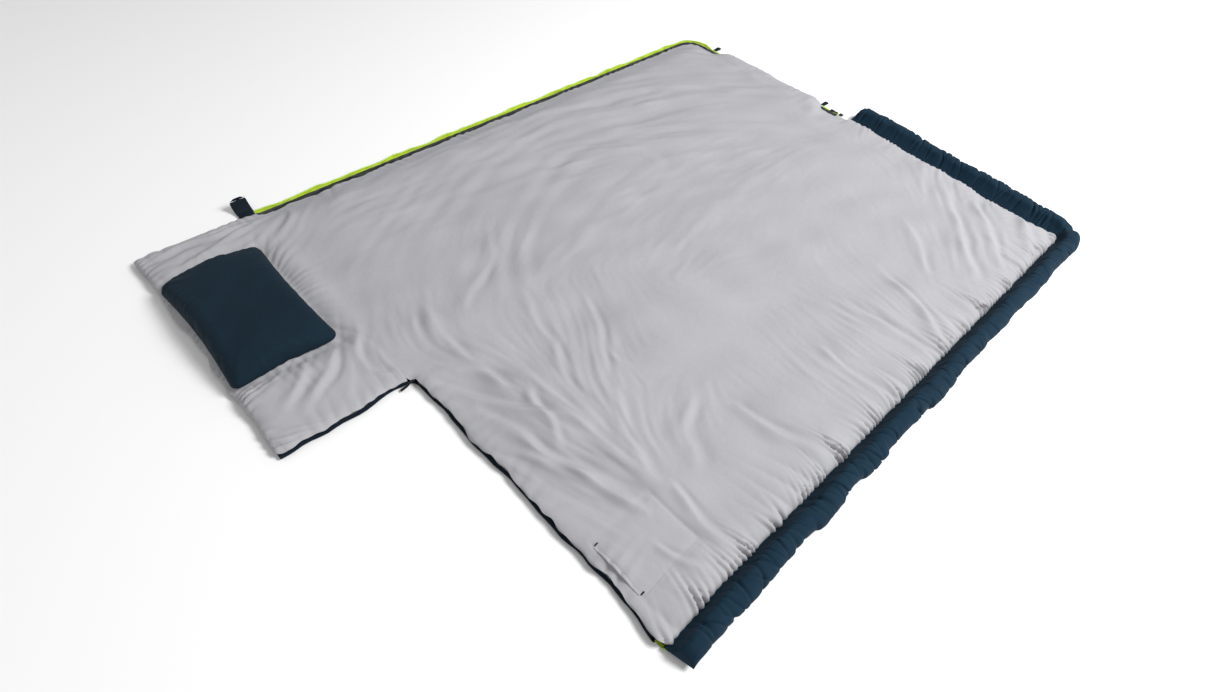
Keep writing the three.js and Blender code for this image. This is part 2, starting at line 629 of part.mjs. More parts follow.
function upperHalf() {
  const tape = rectangleSection(-TAPE_WIDTH, SEAM_ALLOWANCE - 1, TAPE_BASE, TAPE_TOP);
  const coil = rectangleSection(-TAPE_WIDTH, COIL_WIDTH - TAPE_WIDTH, COIL_BASE, COIL_TOP);
  const wadding = cut(waddingLayer(UPPER_RUN, WADDING_INSETS),
    pocketBag(GAP, -POCKET.recess, 1));
  const { near, far, head, foot } = CLOSURE_PATCH;
  const shell = cut(shellLayer(UPPER_RUN), block(near, far, head, foot, -1, SHELL_TOP + 1));
  const pinEnd = FOOT_TAPE_START.upper;
  const stop = topStop(HALF_WIDTH + TAPE_WIDTH - COIL_WIDTH / 2).translate(0, UPPER_TAPE_HEAD, 0);
  return [
    place('shell_top', shell, FINISH.shell),
    place('wadding_top', wadding, FINISH.wadding),
    place('lining_top', cut(liningLayer(UPPER_RUN), pocketSlit()), FINISH.lining),
    place('zip_tape_top', sweepAlong(UPPER_ZIP, tape), FINISH.zipTape),
    place('zip_coil_top', sweepAlong(UPPER_ZIP, coil), FINISH.zipCoil),
    place('zip_pin', footFitting(pinEnd - FITTING.pin, pinEnd - GAP), FINISH.plastic),
    place('zip_stop_top', stop, FINISH.plastic),
    place('draught_tube_side_casing', sweepAlong(TUBE_RUN, tubeCasingSection(), 1), FINISH.tube),
    place('draught_tube_side_filling', sweepAlong(TUBE_RUN, tubeFillingSection(), 1), FINISH.wadding),
    place('draught_tube_foot_casing',
      sweepAlong(TUBE_RUN, tubeCasingSection(), 0, 2, footTubePath), FINISH.tube),
    place('draught_tube_foot_filling',
      sweepAlong(TUBE_RUN, tubeFillingSection(), 0, 2, footTubePath), FINISH.wadding),
    place('pocket_bag', pocketBag(0, GAP - POCKET.recess, -0.1), FINISH.lining),
    place('pocket_edging', pocketEdging(), FINISH.lining),
    place('pocket_bar_tack_inner', barTack(-1), FINISH.lining),
    place('pocket_bar_tack_outer', barTack(1), FINISH.lining),
    place('closure_loop_patch',
      block(near + GAP, far - GAP, head + GAP, foot - GAP, 0.1, SHELL_TOP - 0.1), FINISH.hook),
  ];
}

function hoodWithPillow() {
  const elastic = [];
  for (let step = 0; step < ELASTIC.sides; step += 1) {
    const angle = (step / ELASTIC.sides) * 2 * Math.PI;
    elastic.push([
      ELASTIC.inset + ELASTIC.radius * Math.cos(angle),
      ELASTIC.height + ELASTIC.radius * Math.sin(angle),
    ]);
  }
  const crownBase = (crown) => PILLOW_SEAM + PILLOW.crown * crown;
  return [
    place('shell_hood', shellLayer(HOOD_RUN), FINISH.shell),
    place('wadding_hood', waddingLayer(HOOD_RUN, HOOD_WADDING_INSETS), FINISH.wadding),
    place('lining_hood', liningLayer(HOOD_RUN), FINISH.lining),
    place('hood_elastic', sweepAlong(HOOD_END, elastic), FINISH.elastic),
    place('pillow_cover_base', pillowLayer(0, () => PILLOW_BASE, () => PILLOW_BASE + FABRIC), FINISH.pillow),
    place('pillow_cover_top',
      pillowLayer(0, crownBase, (crown) => crownBase(crown) + FABRIC), FINISH.pillow),
    place('pillow_filling', pillowLayer(PILLOW.seam, () => PILLOW_SEAM,
      (crown) => PILLOW_SEAM + 0.8 + (PILLOW.crown - 5) * crown), FINISH.wadding),
  ];
}

function closureTab() {
  const yStart = TAB.end - TAB.width;
  const strap = stripOutline(tabLine(0, TAB.reach, 0), TAB.thickness);
  const hook = stripOutline(tabLine(HOOK.from, HOOK.to, HOOK.lift), HOOK.thickness);
  const hookWidth = TAB.width - 2 * HOOK.margin;
  return [
    place('closure_tab', extrudeAlongY(strap, yStart, TAB.width), FINISH.webbing),
    place('closure_hook_patch', extrudeAlongY(hook, yStart + HOOK.margin, hookWidth), FINISH.hook),
  ];
}

function zipSlider() {
  return [
    place('zip_slider', sliderBody(), FINISH.plastic),
    place('zip_pull', pullTab(), FINISH.plastic),
  ];
}

const bag = new THREE.Group();
bag.add(...lowerHalf(), ...upperHalf(), ...hoodWithPillow(), ...closureTab(), ...zipSlider());
const box = new THREE.Box3().setFromObject(bag, true);
bag.position.set(-(box.min.x + box.max.x) / 2, -(box.min.y + box.max.y) / 2, -box.min.z);

export default bag;
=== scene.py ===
"""A rectangular sleeping bag, unzipped all the way and laid open with its grey lining up.

Metres, +Z up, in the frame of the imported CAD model. The lining and wadding follow one height
function. The shell lies flat and turns up at its open edges. Draught tubes, zip tapes and the
dark band are sections swept along the seams. The pillow is cloth swollen by pressure.
"""

import json
import math

import bmesh
import bpy
import numpy as np
from mathutils import Matrix, Vector


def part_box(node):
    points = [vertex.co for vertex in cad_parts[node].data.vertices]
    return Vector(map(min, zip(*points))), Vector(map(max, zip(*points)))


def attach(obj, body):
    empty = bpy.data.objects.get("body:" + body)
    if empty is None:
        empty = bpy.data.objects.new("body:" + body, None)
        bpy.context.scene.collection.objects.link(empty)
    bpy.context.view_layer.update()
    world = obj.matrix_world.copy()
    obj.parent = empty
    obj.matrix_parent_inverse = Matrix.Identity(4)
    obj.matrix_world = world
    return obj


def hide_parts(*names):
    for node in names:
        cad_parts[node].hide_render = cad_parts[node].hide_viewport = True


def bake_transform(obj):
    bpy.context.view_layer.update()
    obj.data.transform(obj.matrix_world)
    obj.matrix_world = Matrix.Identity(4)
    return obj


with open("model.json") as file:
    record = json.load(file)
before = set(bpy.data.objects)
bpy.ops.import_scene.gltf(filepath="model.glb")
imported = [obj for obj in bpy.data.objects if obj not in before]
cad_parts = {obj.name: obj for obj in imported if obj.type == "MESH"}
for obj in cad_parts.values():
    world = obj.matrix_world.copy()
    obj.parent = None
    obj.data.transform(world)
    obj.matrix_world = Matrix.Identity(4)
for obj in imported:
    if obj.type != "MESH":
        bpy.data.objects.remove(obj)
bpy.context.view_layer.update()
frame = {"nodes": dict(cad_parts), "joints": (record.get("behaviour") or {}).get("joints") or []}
NODES = frame["nodes"]
JOINTS = {joint["name"]: joint for joint in frame["joints"]}

# ---- places taken from the frame ----
FOLD_X = JOINTS["fold_shut"]["pos_m"][0]
HINGE_Y = JOINTS["hood_lift"]["pos_m"][1]
HEAD_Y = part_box("lining_top")[0].y
FOOT_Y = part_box("lining_bottom")[1].y
ZIP_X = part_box("lining_bottom")[0].x
TUBE_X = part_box("lining_top")[1].x
HOOD_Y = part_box("lining_hood")[0].y
TOP_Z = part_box("lining_top")[1].z
HALF_WIDTH = TUBE_X - FOLD_X

# ---- sizes ----
FOOT_SWEEP = 0.075          # how far the foot seam falls back at the tube corner
ZIP_CORNER, TUBE_CORNER, HEAD_CORNER, HOOD_CORNER = 0.07, 0.034, 0.022, 0.012
CLOTH = 0.001
SEAM_Z = 0.0055             # height of the lining at the zip and tube seams
EDGE_Z = 0.013              # height of the lining where it ends over an open edge
TURN = 0.012                # how far in from an open edge the shell starts to turn up
BEND = 0.02                 # half the width of cloth that bends at the fold
PILLOW_TOP = 0.089          # height of the pillow's crown
LAP = 0.022                 # how far the lining swells out over the tube's seam
CORNER_OUT, CORNER_DOWN = 0.009, 0.014     # how far the tube's head corner is drawn out of square
TUBE_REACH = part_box("draught_tube_side_casing")[1].x - TUBE_X
TUBE_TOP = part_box("draught_tube_side_casing")[1].z
FIBRE_INSIDE, FIBRE_SHORT = 0.004, 0.007   # how far a tube's filling lies inside its casing and ends
TAPE_RISE = 0.005           # how far the lower zip tape's outer edge stands up
FOLD_DEPTH = 1.12           # how deep the listed folds are made
TURN_X, TURN_Y = FOLD_X + 0.15, HEAD_Y + 1.05       # what the long folds of the zip side sweep round
FIELD_STEP = 0.0042         # cell of the field of small folds
FIELD_X, FIELD_Y = ZIP_X - 0.03, HOOD_Y - 0.03      # the field's first corner

# Steps of the meshes.
LINING_STEP, LINING_ROW_STEP, HOOD_LINING_STEP = 0.0078, 0.0038, 0.0046
SHELL_STEP, WADDING_STEP = 0.02, 0.014
SEAM_STEP, TUBE_STEP = 0.006, 0.0022

# The narrow goods: how wide and thick they are.
TAPE_INNER, TAPE_THICK = -0.007, 0.0009    # the tapes' sewn edge, inward of the seam
COIL_HIGH = 0.0023
BAND_WIDE, BAND_THICK = 0.022, 0.0011
TAB_THICK, TAB_ROOT_THICK, PATCH_THICK = 0.0022, 0.0016, 0.0012
LOOP_WIDE, LOOP_THICK = 0.013, 0.0012

# Gathers: their spacing, reach in from the seam, height, and share of that height at the seam.
GATHERS = {
    "tube fine": (0.0175, 0.032, 0.0068, 0.95),
    "tube broad": (0.054, 0.075, 0.0036, 0.45),
    "upper foot": (0.0200, 0.045, 0.0060, 0.95),
    "lower foot": (0.030, 0.045, 0.0024, 0.45),
    "zip": (0.034, 0.045, 0.0026, 0.45),
    "hood end": (0.021, 0.045, 0.0062, 0.45),
    "hood side": (0.034, 0.050, 0.0026, 0.45),
    "head": (0.040, 0.055, 0.0024, 0.45),
    "round pillow": (0.027, 0.050, 0.0030, 0.45),
    "pillow": (0.024, 0.035, 0.0032, 0.45),
}

# Each shape has random draws of its own.
SEEDS = {
    "quilt": 7, "tube gathers": 63, "small folds": 11, "edges drawn in": 29, "edges astray": 51,
    "shell": 33, "tube side": 3, "tube foot": 8, "pillow": 21, "lower tape": 5, "upper tape": 6,
    "band": 17,
}

# How the shell turns up at an open edge: share of the turn, how far out and how far up it is.
TURN_SHARES = (0, 0.35, 0.55, 0.75, 0.9, 1.0)
TURN_OUTS = (0, 0.0085, 0.0115, 0.0122, 0.0108, 0.0060)
TURN_UPS = (0, 0.0003, 0.0030, 0.0070, 0.0100, 0.0112)

# ---- the view ----
CAMERA_TURNS = (41.4, 48.62, 6.14)         # yaw, pitch down and roll, in degrees
CAMERA_PLACE = (FOLD_X + 1.039, HEAD_Y - 0.444, 1.372)
SENSOR, LENS = 36, 20.1161
FLOOR_HALF = 9.0
FLOOR_Z = -0.0005
DAYLIGHT = 0.42


# ---- smooth random functions ----

def reseed(shape):
    """Starts a shape's random draws again, so that it is the same every time it is asked for."""
    global RANDOM
    RANDOM = np.random.default_rng(SEEDS[shape])


def smooth(t):
    """A soft step from 0 to 1."""
    t = np.clip(t, 0, 1)
    return t * t * (3 - 2 * t)


def ripple(x, y, wavelength, waves=7, spread=math.pi):
    """Soft bumps of about one wavelength, from a few crossing waves, between about -1 and 1."""
    total = np.zeros(np.broadcast(x, y).shape)
    for _ in range(waves):
        angle = RANDOM.uniform(-spread, spread) / 2
        number = 2 * math.pi / (wavelength * RANDOM.uniform(0.75, 1.35))
        phase = RANDOM.uniform(0, 2 * math.pi)
        total += np.sin(number * (x * math.cos(angle) + y * math.sin(angle)) + phase)
    return total / math.sqrt(waves)


def wander(s, wavelength):
    """A smooth random function of one variable, between about -1 and 1."""
    return ripple(s, np.zeros_like(s), wavelength, waves=4, spread=0.5)


# ---- the height of the quilt ----

# Folds that lie in the lining: three points from the head's fold corner, width, height.
FOLDS = [
    # long folds that sweep along the zip side and round the zip's foot corner
    ((-0.36, 1.90), (-0.70, 1.15), (-0.745, 0.30), 0.020, 0.0037),
    ((-0.32, 1.86), (-0.61, 1.10), (-0.66, 0.08), 0.024, 0.0031),
    ((-0.30, 1.76), (-0.56, 1.16), (-0.63, 0.06), 0.026, 0.0028),
    ((-0.28, 1.60), (-0.49, 1.00), (-0.58, 0.02), 0.030, 0.0025),
    ((-0.26, 1.35), (-0.42, 0.95), (-0.50, 0.30), 0.030, 0.0019),
    ((-0.48, 0.92), (-0.36, 1.12), (-0.21, 1.11), 0.020, 0.0019),
    ((-0.80, 0.03), (-0.795, 0.25), (-0.785, 0.60), 0.012, 0.0025),
    ((-0.79, 1.70), (-0.60, 1.90), (-0.30, 1.93), 0.018, 0.0031),
    ((-0.70, 1.76), (-0.52, 1.87), (-0.20, 1.89), 0.016, 0.0028),
    ((-0.13, 1.96), (-0.12, 1.90), (-0.14, 1.83), 0.034, 0.0062),
    # rays from the fold's foot end
    ((-0.08, 1.55), (-0.15, 1.00), (-0.06, 0.36), 0.030, 0.0026),
    ((-0.13, 1.52), (-0.19, 1.15), (-0.18, 0.76), 0.024, 0.0023),
    ((0.02, 1.60), (0.03, 1.20), (0.10, 0.80), 0.030, 0.0019),
    # middle of the bag, below the pillow
    ((-0.31, 0.49), (-0.18, 0.34), (-0.10, 0.21), 0.015, 0.0030),
    ((-0.20, 0.15), (0.03, 0.13), (0.18, 0.15), 0.015, 0.0036),
    ((-0.21, 0.13), (-0.12, 0.09), (-0.05, 0.07), 0.010, 0.0021),
    ((0.07, 0.50), (0.20, 0.44), (0.30, 0.34), 0.013, 0.0033),
    ((0.24, 0.45), (0.31, 0.41), (0.40, 0.49), 0.012, 0.0021),
    ((-0.08, 0.38), (0.14, 0.32), (0.25, 0.28), 0.014, 0.0027),
    # the upper half's head end
    ((0.16, 0.05), (0.41, 0.10), (0.64, 0.19), 0.016, 0.0100),
    ((0.29, 0.02), (0.48, 0.11), (0.66, 0.17), 0.013, 0.0081),
    ((0.03, 0.02), (0.20, 0.10), (0.40, 0.24), 0.014, 0.0081),
    ((0.01, 0.04), (0.11, 0.12), (0.23, 0.16), 0.012, 0.0063),
    ((0.22, 0.19), (0.29, 0.165), (0.41, 0.145), 0.011, 0.0050),
    ((0.34, 0.35), (0.52, 0.25), (0.64, 0.24), 0.017, 0.0045),
    ((0.48, 0.51), (0.56, 0.38), (0.66, 0.33), 0.018, 0.0041),
    ((0.58, 0.53), (0.71, 0.54), (0.81, 0.58), 0.013, 0.0063),
    ((0.61, 0.26), (0.74, 0.23), (0.82, 0.25), 0.011, 0.0056),
    ((0.70, 0.12), (0.76, 0.13), (0.81, 0.17), 0.009, 0.0050),
    # folds that run to the tube near its corner
    ((0.45, 1.85), (0.63, 1.62), (0.78, 1.43), 0.017, 0.0084),
    ((0.55, 1.87), (0.68, 1.72), (0.80, 1.55), 0.013, 0.0056),
    ((0.70, 1.88), (0.78, 1.79), (0.825, 1.60), 0.013, 0.0074),
    ((0.53, 1.27), (0.72, 1.20), (0.83, 1.13), 0.014, 0.0068),
    ((0.55, 1.05), (0.73, 1.065), (0.82, 1.085), 0.013, 0.0050),
    ((0.46, 1.54), (0.58, 1.45), (0.66, 1.36), 0.016, 0.0045),
    ((0.60, 0.86), (0.71, 0.84), (0.82, 0.86), 0.013, 0.0050),
    # the hood, beside and below the pillow
    ((-0.20, -0.10), (-0.13, -0.15), (-0.06, -0.26), 0.012, 0.0060),
    ((-0.20, -0.17), (-0.15, -0.21), (-0.09, -0.29), 0.013, 0.0055),
    ((-0.24, -0.01), (-0.09, -0.07), (-0.04, -0.02), 0.012, 0.0052),
    ((-0.76, -0.33), (-0.75, -0.20), (-0.76, -0.02), 0.014, 0.0070),
    ((-0.80, -0.30), (-0.79, -0.12), (-0.80, 0.10), 0.010, 0.0059),
    ((-0.70, -0.28), (-0.74, -0.12), (-0.79, 0.00), 0.013, 0.0059),
    ((-0.66, -0.02), (-0.72, 0.05), (-0.79, 0.08), 0.014, 0.0047),
]


def fold_curve(first, middle, last, count):
    """Points on the curve through three points given from the head's fold corner."""
    a, m, b = (np.array(p) + (FOLD_X, HEAD_Y) for p in (first, middle, last))
    control = 2 * m - (a + b) / 2
    t = np.linspace(0, 1, count)[:, None]
    return a * (1 - t) ** 2 + 2 * control * t * (1 - t) + b * t ** 2


def fold_height(x, y, first, middle, last, width, height):
    """One soft fold along a curve through three points, steep on one side."""
    curve = fold_curve(first, middle, last, 25)
    reach = 4 * width
    near = (x > curve[:, 0].min() - reach) & (x < curve[:, 0].max() + reach)
    near &= (y > curve[:, 1].min() - reach) & (y < curve[:, 1].max() + reach)
    result = np.zeros_like(x)
    px, py = x[near], y[near]
    if px.size == 0:
        return result
    best = np.full(px.shape, 1e9)
    side = np.zeros(px.shape)
    along = np.zeros(px.shape)
    for i in range(len(curve) - 1):
        start, step = curve[i], curve[i + 1] - curve[i]
        length = math.hypot(*step)
        u = ((px - start[0]) * step[0] + (py - start[1]) * step[1]) / length ** 2
        u = np.clip(u, 0, 1)
        dx = px - start[0] - u * step[0]
        dy = py - start[1] - u * step[1]
        distance = np.hypot(dx, dy)
        closer = distance < best
        best = np.where(closer, distance, best)
        side = np.where(closer, (dx * step[1] - dy * step[0]) / length, side)
        along = np.where(closer, (i + u) / (len(curve) - 1), along)
    slope = np.where(side > 0, width * 1.35, width * 0.62)
    ridge = np.exp(-((best / slope) ** 2))
    valley = np.exp(-(((side + 1.5 * width) / (0.8 * width)) ** 2))
    result[near] = height * (ridge - 0.55 * valley) * np.sin(math.pi * along) ** 0.7
    return result


# ---- the small folds, drawn out along the long ones ----

COMBED = {}                 # the field of small folds, once it is made


def sampled(field, x, y):
    """A field's value at points in metres, between its cells."""
    u = np.clip((x - FIELD_X) / FIELD_STEP, 0, field.shape[1] - 1.001)
    v = np.clip((y - FIELD_Y) / FIELD_STEP, 0, field.shape[0] - 1.001)
    i, j = u.astype(int), v.astype(int)
    u, v = u - i, v - j
    near = field[j, i] * (1 - u) + field[j, i + 1] * u
    far = field[j + 1, i] * (1 - u) + field[j + 1, i + 1] * u
    return near * (1 - v) + far * v


def soft_noise(random, shape, cells):
    """Random bumps several cells across, with no broader swell in them."""
    spectrum = np.fft.rfft2(random.standard_normal(shape))
    square = np.fft.fftfreq(shape[0])[:, None] ** 2 + np.fft.rfftfreq(shape[1])[None, :] ** 2
    fall = 2 * (math.pi * cells) ** 2
    spectrum *= np.exp(-fall * square) * (1 - np.exp(-9 * fall * square))
    field = np.fft.irfft2(spectrum, shape)
    return field / field.std()


def pull_directions(x, y):
    """How the cloth is drawn: twice the angle of the nearest long folds, and their strength."""
    round_turn = 2 * (np.arctan2(y - TURN_Y, (x - TURN_X) * 1.25) + math.pi / 2)
    double_x, double_y = 0.02 * np.cos(round_turn), 0.02 * np.sin(round_turn)
    strength = np.zeros_like(x)
    for first, middle, last, _, height in FOLDS:
        curve = fold_curve(first, middle, last, 8)
        steps = np.diff(curve, axis=0)
        for (px, py), (sx, sy) in zip(curve[1:] - steps / 2, steps):
            weight = 200 * height * np.exp(-((x - px) ** 2 + (y - py) ** 2) / 0.09 ** 2)
            angle = 2 * math.atan2(sy, sx)
            double_x += weight * math.cos(angle)
            double_y += weight * math.sin(angle)
            strength += weight
    at_tube = np.exp(-((TUBE_X - x) / 0.06) ** 2) * (x > FOLD_X)
    at_foot = 0.7 * np.exp(-((foot_seam(x) - y) / 0.05) ** 2)
    double_x += at_tube - at_foot
    return double_x, double_y, strength


def combed(noise, double_x, double_y, x, y, steps, pace):
    """Noise drawn out along the directions, as cloth draws its small folds along the pull."""
    total = noise.copy()
    for way in (0, math.pi):
        px, py = x.copy(), y.copy()
        heading = np.arctan2(double_y, double_x) / 2 + way
        for step in range(1, steps + 1):
            px += pace * np.cos(heading)
            py += pace * np.sin(heading)
            angle = np.arctan2(sampled(double_y, px, py), sampled(double_x, px, py)) / 2
            heading = angle + math.pi * np.round((heading - angle) / math.pi)
            total += sampled(noise, px, py) * math.cos(0.5 * math.pi * step / (steps + 1)) ** 2
    return total / total.std()


def small_folds(x, y):
    """Height of the small folds at points of the quilt."""
    if not COMBED:
        random = np.random.default_rng(SEEDS["small folds"])
        fx = np.arange(FIELD_X, TUBE_X + 0.03, FIELD_STEP)
        fy = np.arange(FIELD_Y, FOOT_Y + 0.03, FIELD_STEP)
        fx, fy = np.meshgrid(fx, fy)
        double_x, double_y, strength = pull_directions(fx, fy)
        level = 0.45 + 0.95 * np.tanh(0.3 * strength)
        level += 0.6 * np.exp(-((fy - HEAD_Y - 0.12) / 0.20) ** 2) * smooth((fx - FOLD_X) / 0.1)
        broad = combed(soft_noise(random, fx.shape, 2.6), double_x, double_y, fx, fy, 11, 0.011)
        fine = combed(soft_noise(random, fx.shape, 1.1), double_x, double_y, fx, fy, 9, 0.008)
        patches = np.clip(1 + 0.6 * soft_noise(random, fx.shape, 20), 0.1, 2.2)
        broad = 0.65 * broad + 0.55 * (np.abs(broad) - 0.8)
        COMBED["height"] = level * patches * (0.00062 * broad + 0.00030 * fine)
    return sampled(COMBED["height"], x, y)


def swell(distance, reach):
    """The rounded rise of the quilt from a seam, from 0 to 1."""
    t = np.clip(distance / reach, 0, 1)
    return np.sqrt(np.maximum(1 - (1 - t) ** 2.4, 0))


def foot_seam(x):
    """How far along +Y the foot seam lies: straight, then falling back towards the tube's corner."""
    return FOOT_Y - FOOT_SWEEP * np.clip((x - FOLD_X) / HALF_WIDTH, 0, 1)


def edge_distances(x, y):
    """Distances inside each edge of the open bag."""
    notch = np.hypot(np.maximum(FOLD_X - x, 0), np.maximum(y - HEAD_Y, 0))
    notch = np.where((x > FOLD_X) & (y > HEAD_Y), y - HEAD_Y, notch)
    notch = np.where((x < FOLD_X) & (y < HEAD_Y), FOLD_X - x, notch)
    return {
        "zip": x - ZIP_X,
        "foot": foot_seam(x) - y,
        "tube": TUBE_X - x,
        "hood": y - HOOD_Y,
        "notch": notch,
    }


def puckers(s, distance, spacing, reach, height, at_seam):
    """Height of the gathers that run in from a seam: s along it, distance in from it."""
    warp = s / spacing + 0.5 * wander(s, 12 * spacing) + 0.08 * wander(s, 4 * spacing)
    distance = np.maximum(distance, 0)
    lean = 0.35 * wander(s, 0.4) * distance / spacing
    length = reach * (1 + 0.55 * wander(s, 4 * spacing))
    strength = 0.6 + 0.4 * wander(s, 6 * spacing)
    fade = np.exp(-((distance / np.maximum(length, 0.3 * reach)) ** 1.6))
    start = at_seam + (1 - at_seam) * smooth(distance / 0.009)
    crests = 2 * np.abs(np.sin(math.pi * (warp + lean))) ** 0.75 - 0.9
    return height * strength * fade * start * crests


def tube_gathers(y, distance):
    """Height of the fine gathers along the tube's side seam, from random draws of their own."""
    global RANDOM
    kept = RANDOM
    reseed("tube gathers")
    height = puckers(y, distance, *GATHERS["tube fine"])
    RANDOM = kept
    return height


def pocket_lip(x, y):
    """The pocket's mouth stands open a little: a lip over a hollow."""
    low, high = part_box("pocket_edging")
    inside = np.minimum(x - low.x, high.x - x)
    past = y - (low.y + high.y) / 2
    lip = np.where(past > 0, np.exp(-((past / 0.034) ** 2)), np.exp(-((past / 0.005) ** 2)))
    hollow = np.exp(-(((past + 0.016) / 0.012) ** 2))
    return smooth(inside / 0.05) * (0.0078 * lip - 0.0070 * hollow)


def pocket_relief(x, y):
    """The pocket's stitched outline, a shallow groove that crosses the lining."""
    low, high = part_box("pocket_bag")
    inside_x = np.minimum(x - low.x, high.x - x)
    inside_y = np.minimum(y - low.y, high.y - y)
    inside = np.minimum(inside_x, inside_y)
    groove = -0.0022 * np.exp(-((inside / 0.0045) ** 2))
    return groove + 0.0015 * smooth(inside / 0.03) + pocket_lip(x, y)


def foot_puff(x):
    """Where the lining swells out over the zip at the foot, from 0 to 1."""
    start, end = FOLD_X - 0.69, FOLD_X - 0.17
    return smooth((x - start) / 0.08) * (1 - smooth((x - end) / 0.06))


def pillow_dip(x, y):
    """The lining is drawn down round the pillow's seam, in short creases that run out from it."""
    low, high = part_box("pillow_cover_top")
    middle, half = (low + high) / 2, (high - low) / 2
    out_x = np.abs(x - middle.x) - half.x
    out_y = np.abs(y - middle.y) - half.y
    away = np.hypot(np.maximum(out_x, 0), np.maximum(out_y, 0))
    away = away + np.minimum(np.maximum(out_x, out_y), 0)
    round_it = np.arctan2(y - middle.y, x - middle.x) * 0.22
    outside = np.maximum(away, 0)
    dip = -0.006 * np.exp(-((away / 0.018) ** 2)) + 0.004 * np.exp(-(((away - 0.05) / 0.025) ** 2))
    return dip + puckers(round_it, outside, *GATHERS["round pillow"]) * (away < 0.16)


def quilt_rise(x, y, d):
    """How far the quilt has risen in from its seams, and in from its open edges, from 0 to 1."""
    sloping = smooth(d["foot"] / 0.10)
    rounded = swell(d["foot"] + 0.004, 0.055)
    lower_foot = sloping + (rounded - sloping) * foot_puff(x)
    foot = np.where(x < FOLD_X, lower_foot, swell(d["foot"], 0.07))
    shallow = smooth(d["zip"] / 0.125 + 0.04)
    puffed = swell(d["zip"] + 0.003, 0.055)
    along_zip = shallow + (puffed - shallow) * smooth((HEAD_Y + 0.06 - y) / 0.14)
    seam = along_zip * foot * swell(d["tube"], 0.06)
    edge = swell(d["hood"], 0.07) * swell(d["notch"], 0.035)
    return seam, edge * (1 - 0.42 * (1 - smooth(d["notch"] / 0.19)))


def soft_bumps(x, y):
    """Height of the soft bumps, of the small folds, and of the faint folds along the zip side."""
    bumps = 0.0045 * ripple(x, y, 0.36) + 0.0022 * ripple(x, y, 0.17) + small_folds(x, y)
    radius = np.hypot((x - TURN_X) * 1.25, y - TURN_Y) + 0.022 * ripple(x, y, 0.5)
    sweep = smooth((TURN_X - x) / 0.5 + 0.1) * smooth((y - HEAD_Y) / 0.4 + 0.3)
    return bumps + sweep * 0.0009 * wander(radius, 0.085) * (1 + 0.5 * ripple(x, y, 0.4))


def listed_folds(x, y):
    """Height of the listed folds, their lines bent a little and their heights uneven."""
    bent_x = x + 0.006 * ripple(x, y, 0.14)
    bent_y = y + 0.006 * ripple(x, y, 0.14)
    uneven = 1 + 0.3 * ripple(x, y, 0.11)
    return FOLD_DEPTH * uneven * sum(fold_height(bent_x, bent_y, *fold) for fold in FOLDS)


def seam_gathers(x, y, d):
    """Height of the gathers along every seam and open edge."""
    upper = smooth((x - FOLD_X) / 0.05 + 0.5)
    beside = np.where(y < HINGE_Y, FOLD_X - x, 1)
    head = np.where(x > FOLD_X, y - HEAD_Y, 1)
    total = upper * tube_gathers(y, d["tube"])
    total += upper * puckers(y, d["tube"], *GATHERS["tube broad"])
    total += upper * puckers(x, d["foot"], *GATHERS["upper foot"])
    total += (1 - upper) * puckers(x, d["foot"], *GATHERS["lower foot"])
    total += puckers(y, d["zip"], *GATHERS["zip"])
    total += puckers(x, d["hood"], *GATHERS["hood end"])
    total += puckers(y, beside, *GATHERS["hood side"])
    total += puckers(x, head, *GATHERS["head"])
    return total


def quilt_top(x, y):
    """Height of the lining over the floor. The random draws below come in a fixed order."""
    reseed("quilt")
    d = edge_distances(x, y)
    seam, edge = quilt_rise(x, y, d)
    calm = np.clip(seam * edge, 0, 1)
    z = SEAM_Z + seam * (EDGE_Z - SEAM_Z + (TOP_Z - EDGE_Z) * edge)
    z += calm * (soft_bumps(x, y) + listed_folds(x, y))
    z += seam_gathers(x, y, d)
    z += pillow_dip(x, y)
    z += calm * pocket_relief(x, y)
    return np.maximum(z, SEAM_Z - 0.002)


# ---- meshes ----

def drawn_out(vertices):
    """The points, with the tube's head corner drawn out towards the head of the bag."""
    vertices = np.array(vertices, float)
    away = np.hypot(vertices[:, 0] - TUBE_X, vertices[:, 1] - HEAD_Y)
    vertices[:, 0] += CORNER_OUT * (1 - smooth(away / 0.18))
    vertices[:, 1] -= CORNER_DOWN * (1 - smooth(away / 0.09))
    return vertices


def new_object(name, vertices, faces, material):
    """A smooth-shaded mesh in the scene."""
    mesh = bpy.data.meshes.new(name)
    points = [tuple(map(float, v)) for v in drawn_out(vertices)]
    mesh.from_pydata(points, [], [tuple(map(int, f)) for f in faces])
    mesh.validate()
    mesh.polygons.foreach_set("use_smooth", [True] * len(mesh.polygons))
    mesh.update()
    mesh.materials.append(material)
    piece = bpy.data.objects.new(name, mesh)
    bpy.context.scene.collection.objects.link(piece)
    return piece


def sharpen(piece, degrees):
    """Keeps edges sharper than an angle crisp, so rims don't smear the shading."""
    mesh = piece.data
    bm = bmesh.new()
    bm.from_mesh(mesh)
    for edge in bm.edges:
        edge.smooth = edge.calc_face_angle(0) < math.radians(degrees)
    bm.to_mesh(mesh)
    bm.free()
    return piece


def grid_faces(rows, columns, offset=0, flip=False):
    """Faces between the points of a grid, row after row."""
    index = np.arange(rows * columns).reshape(rows, columns) + offset
    a, b = index[:-1, :-1].ravel(), index[:-1, 1:].ravel()
    c, d = index[1:, 1:].ravel(), index[1:, :-1].ravel()
    return np.stack([a, d, c, b] if flip else [a, b, c, d], 1)


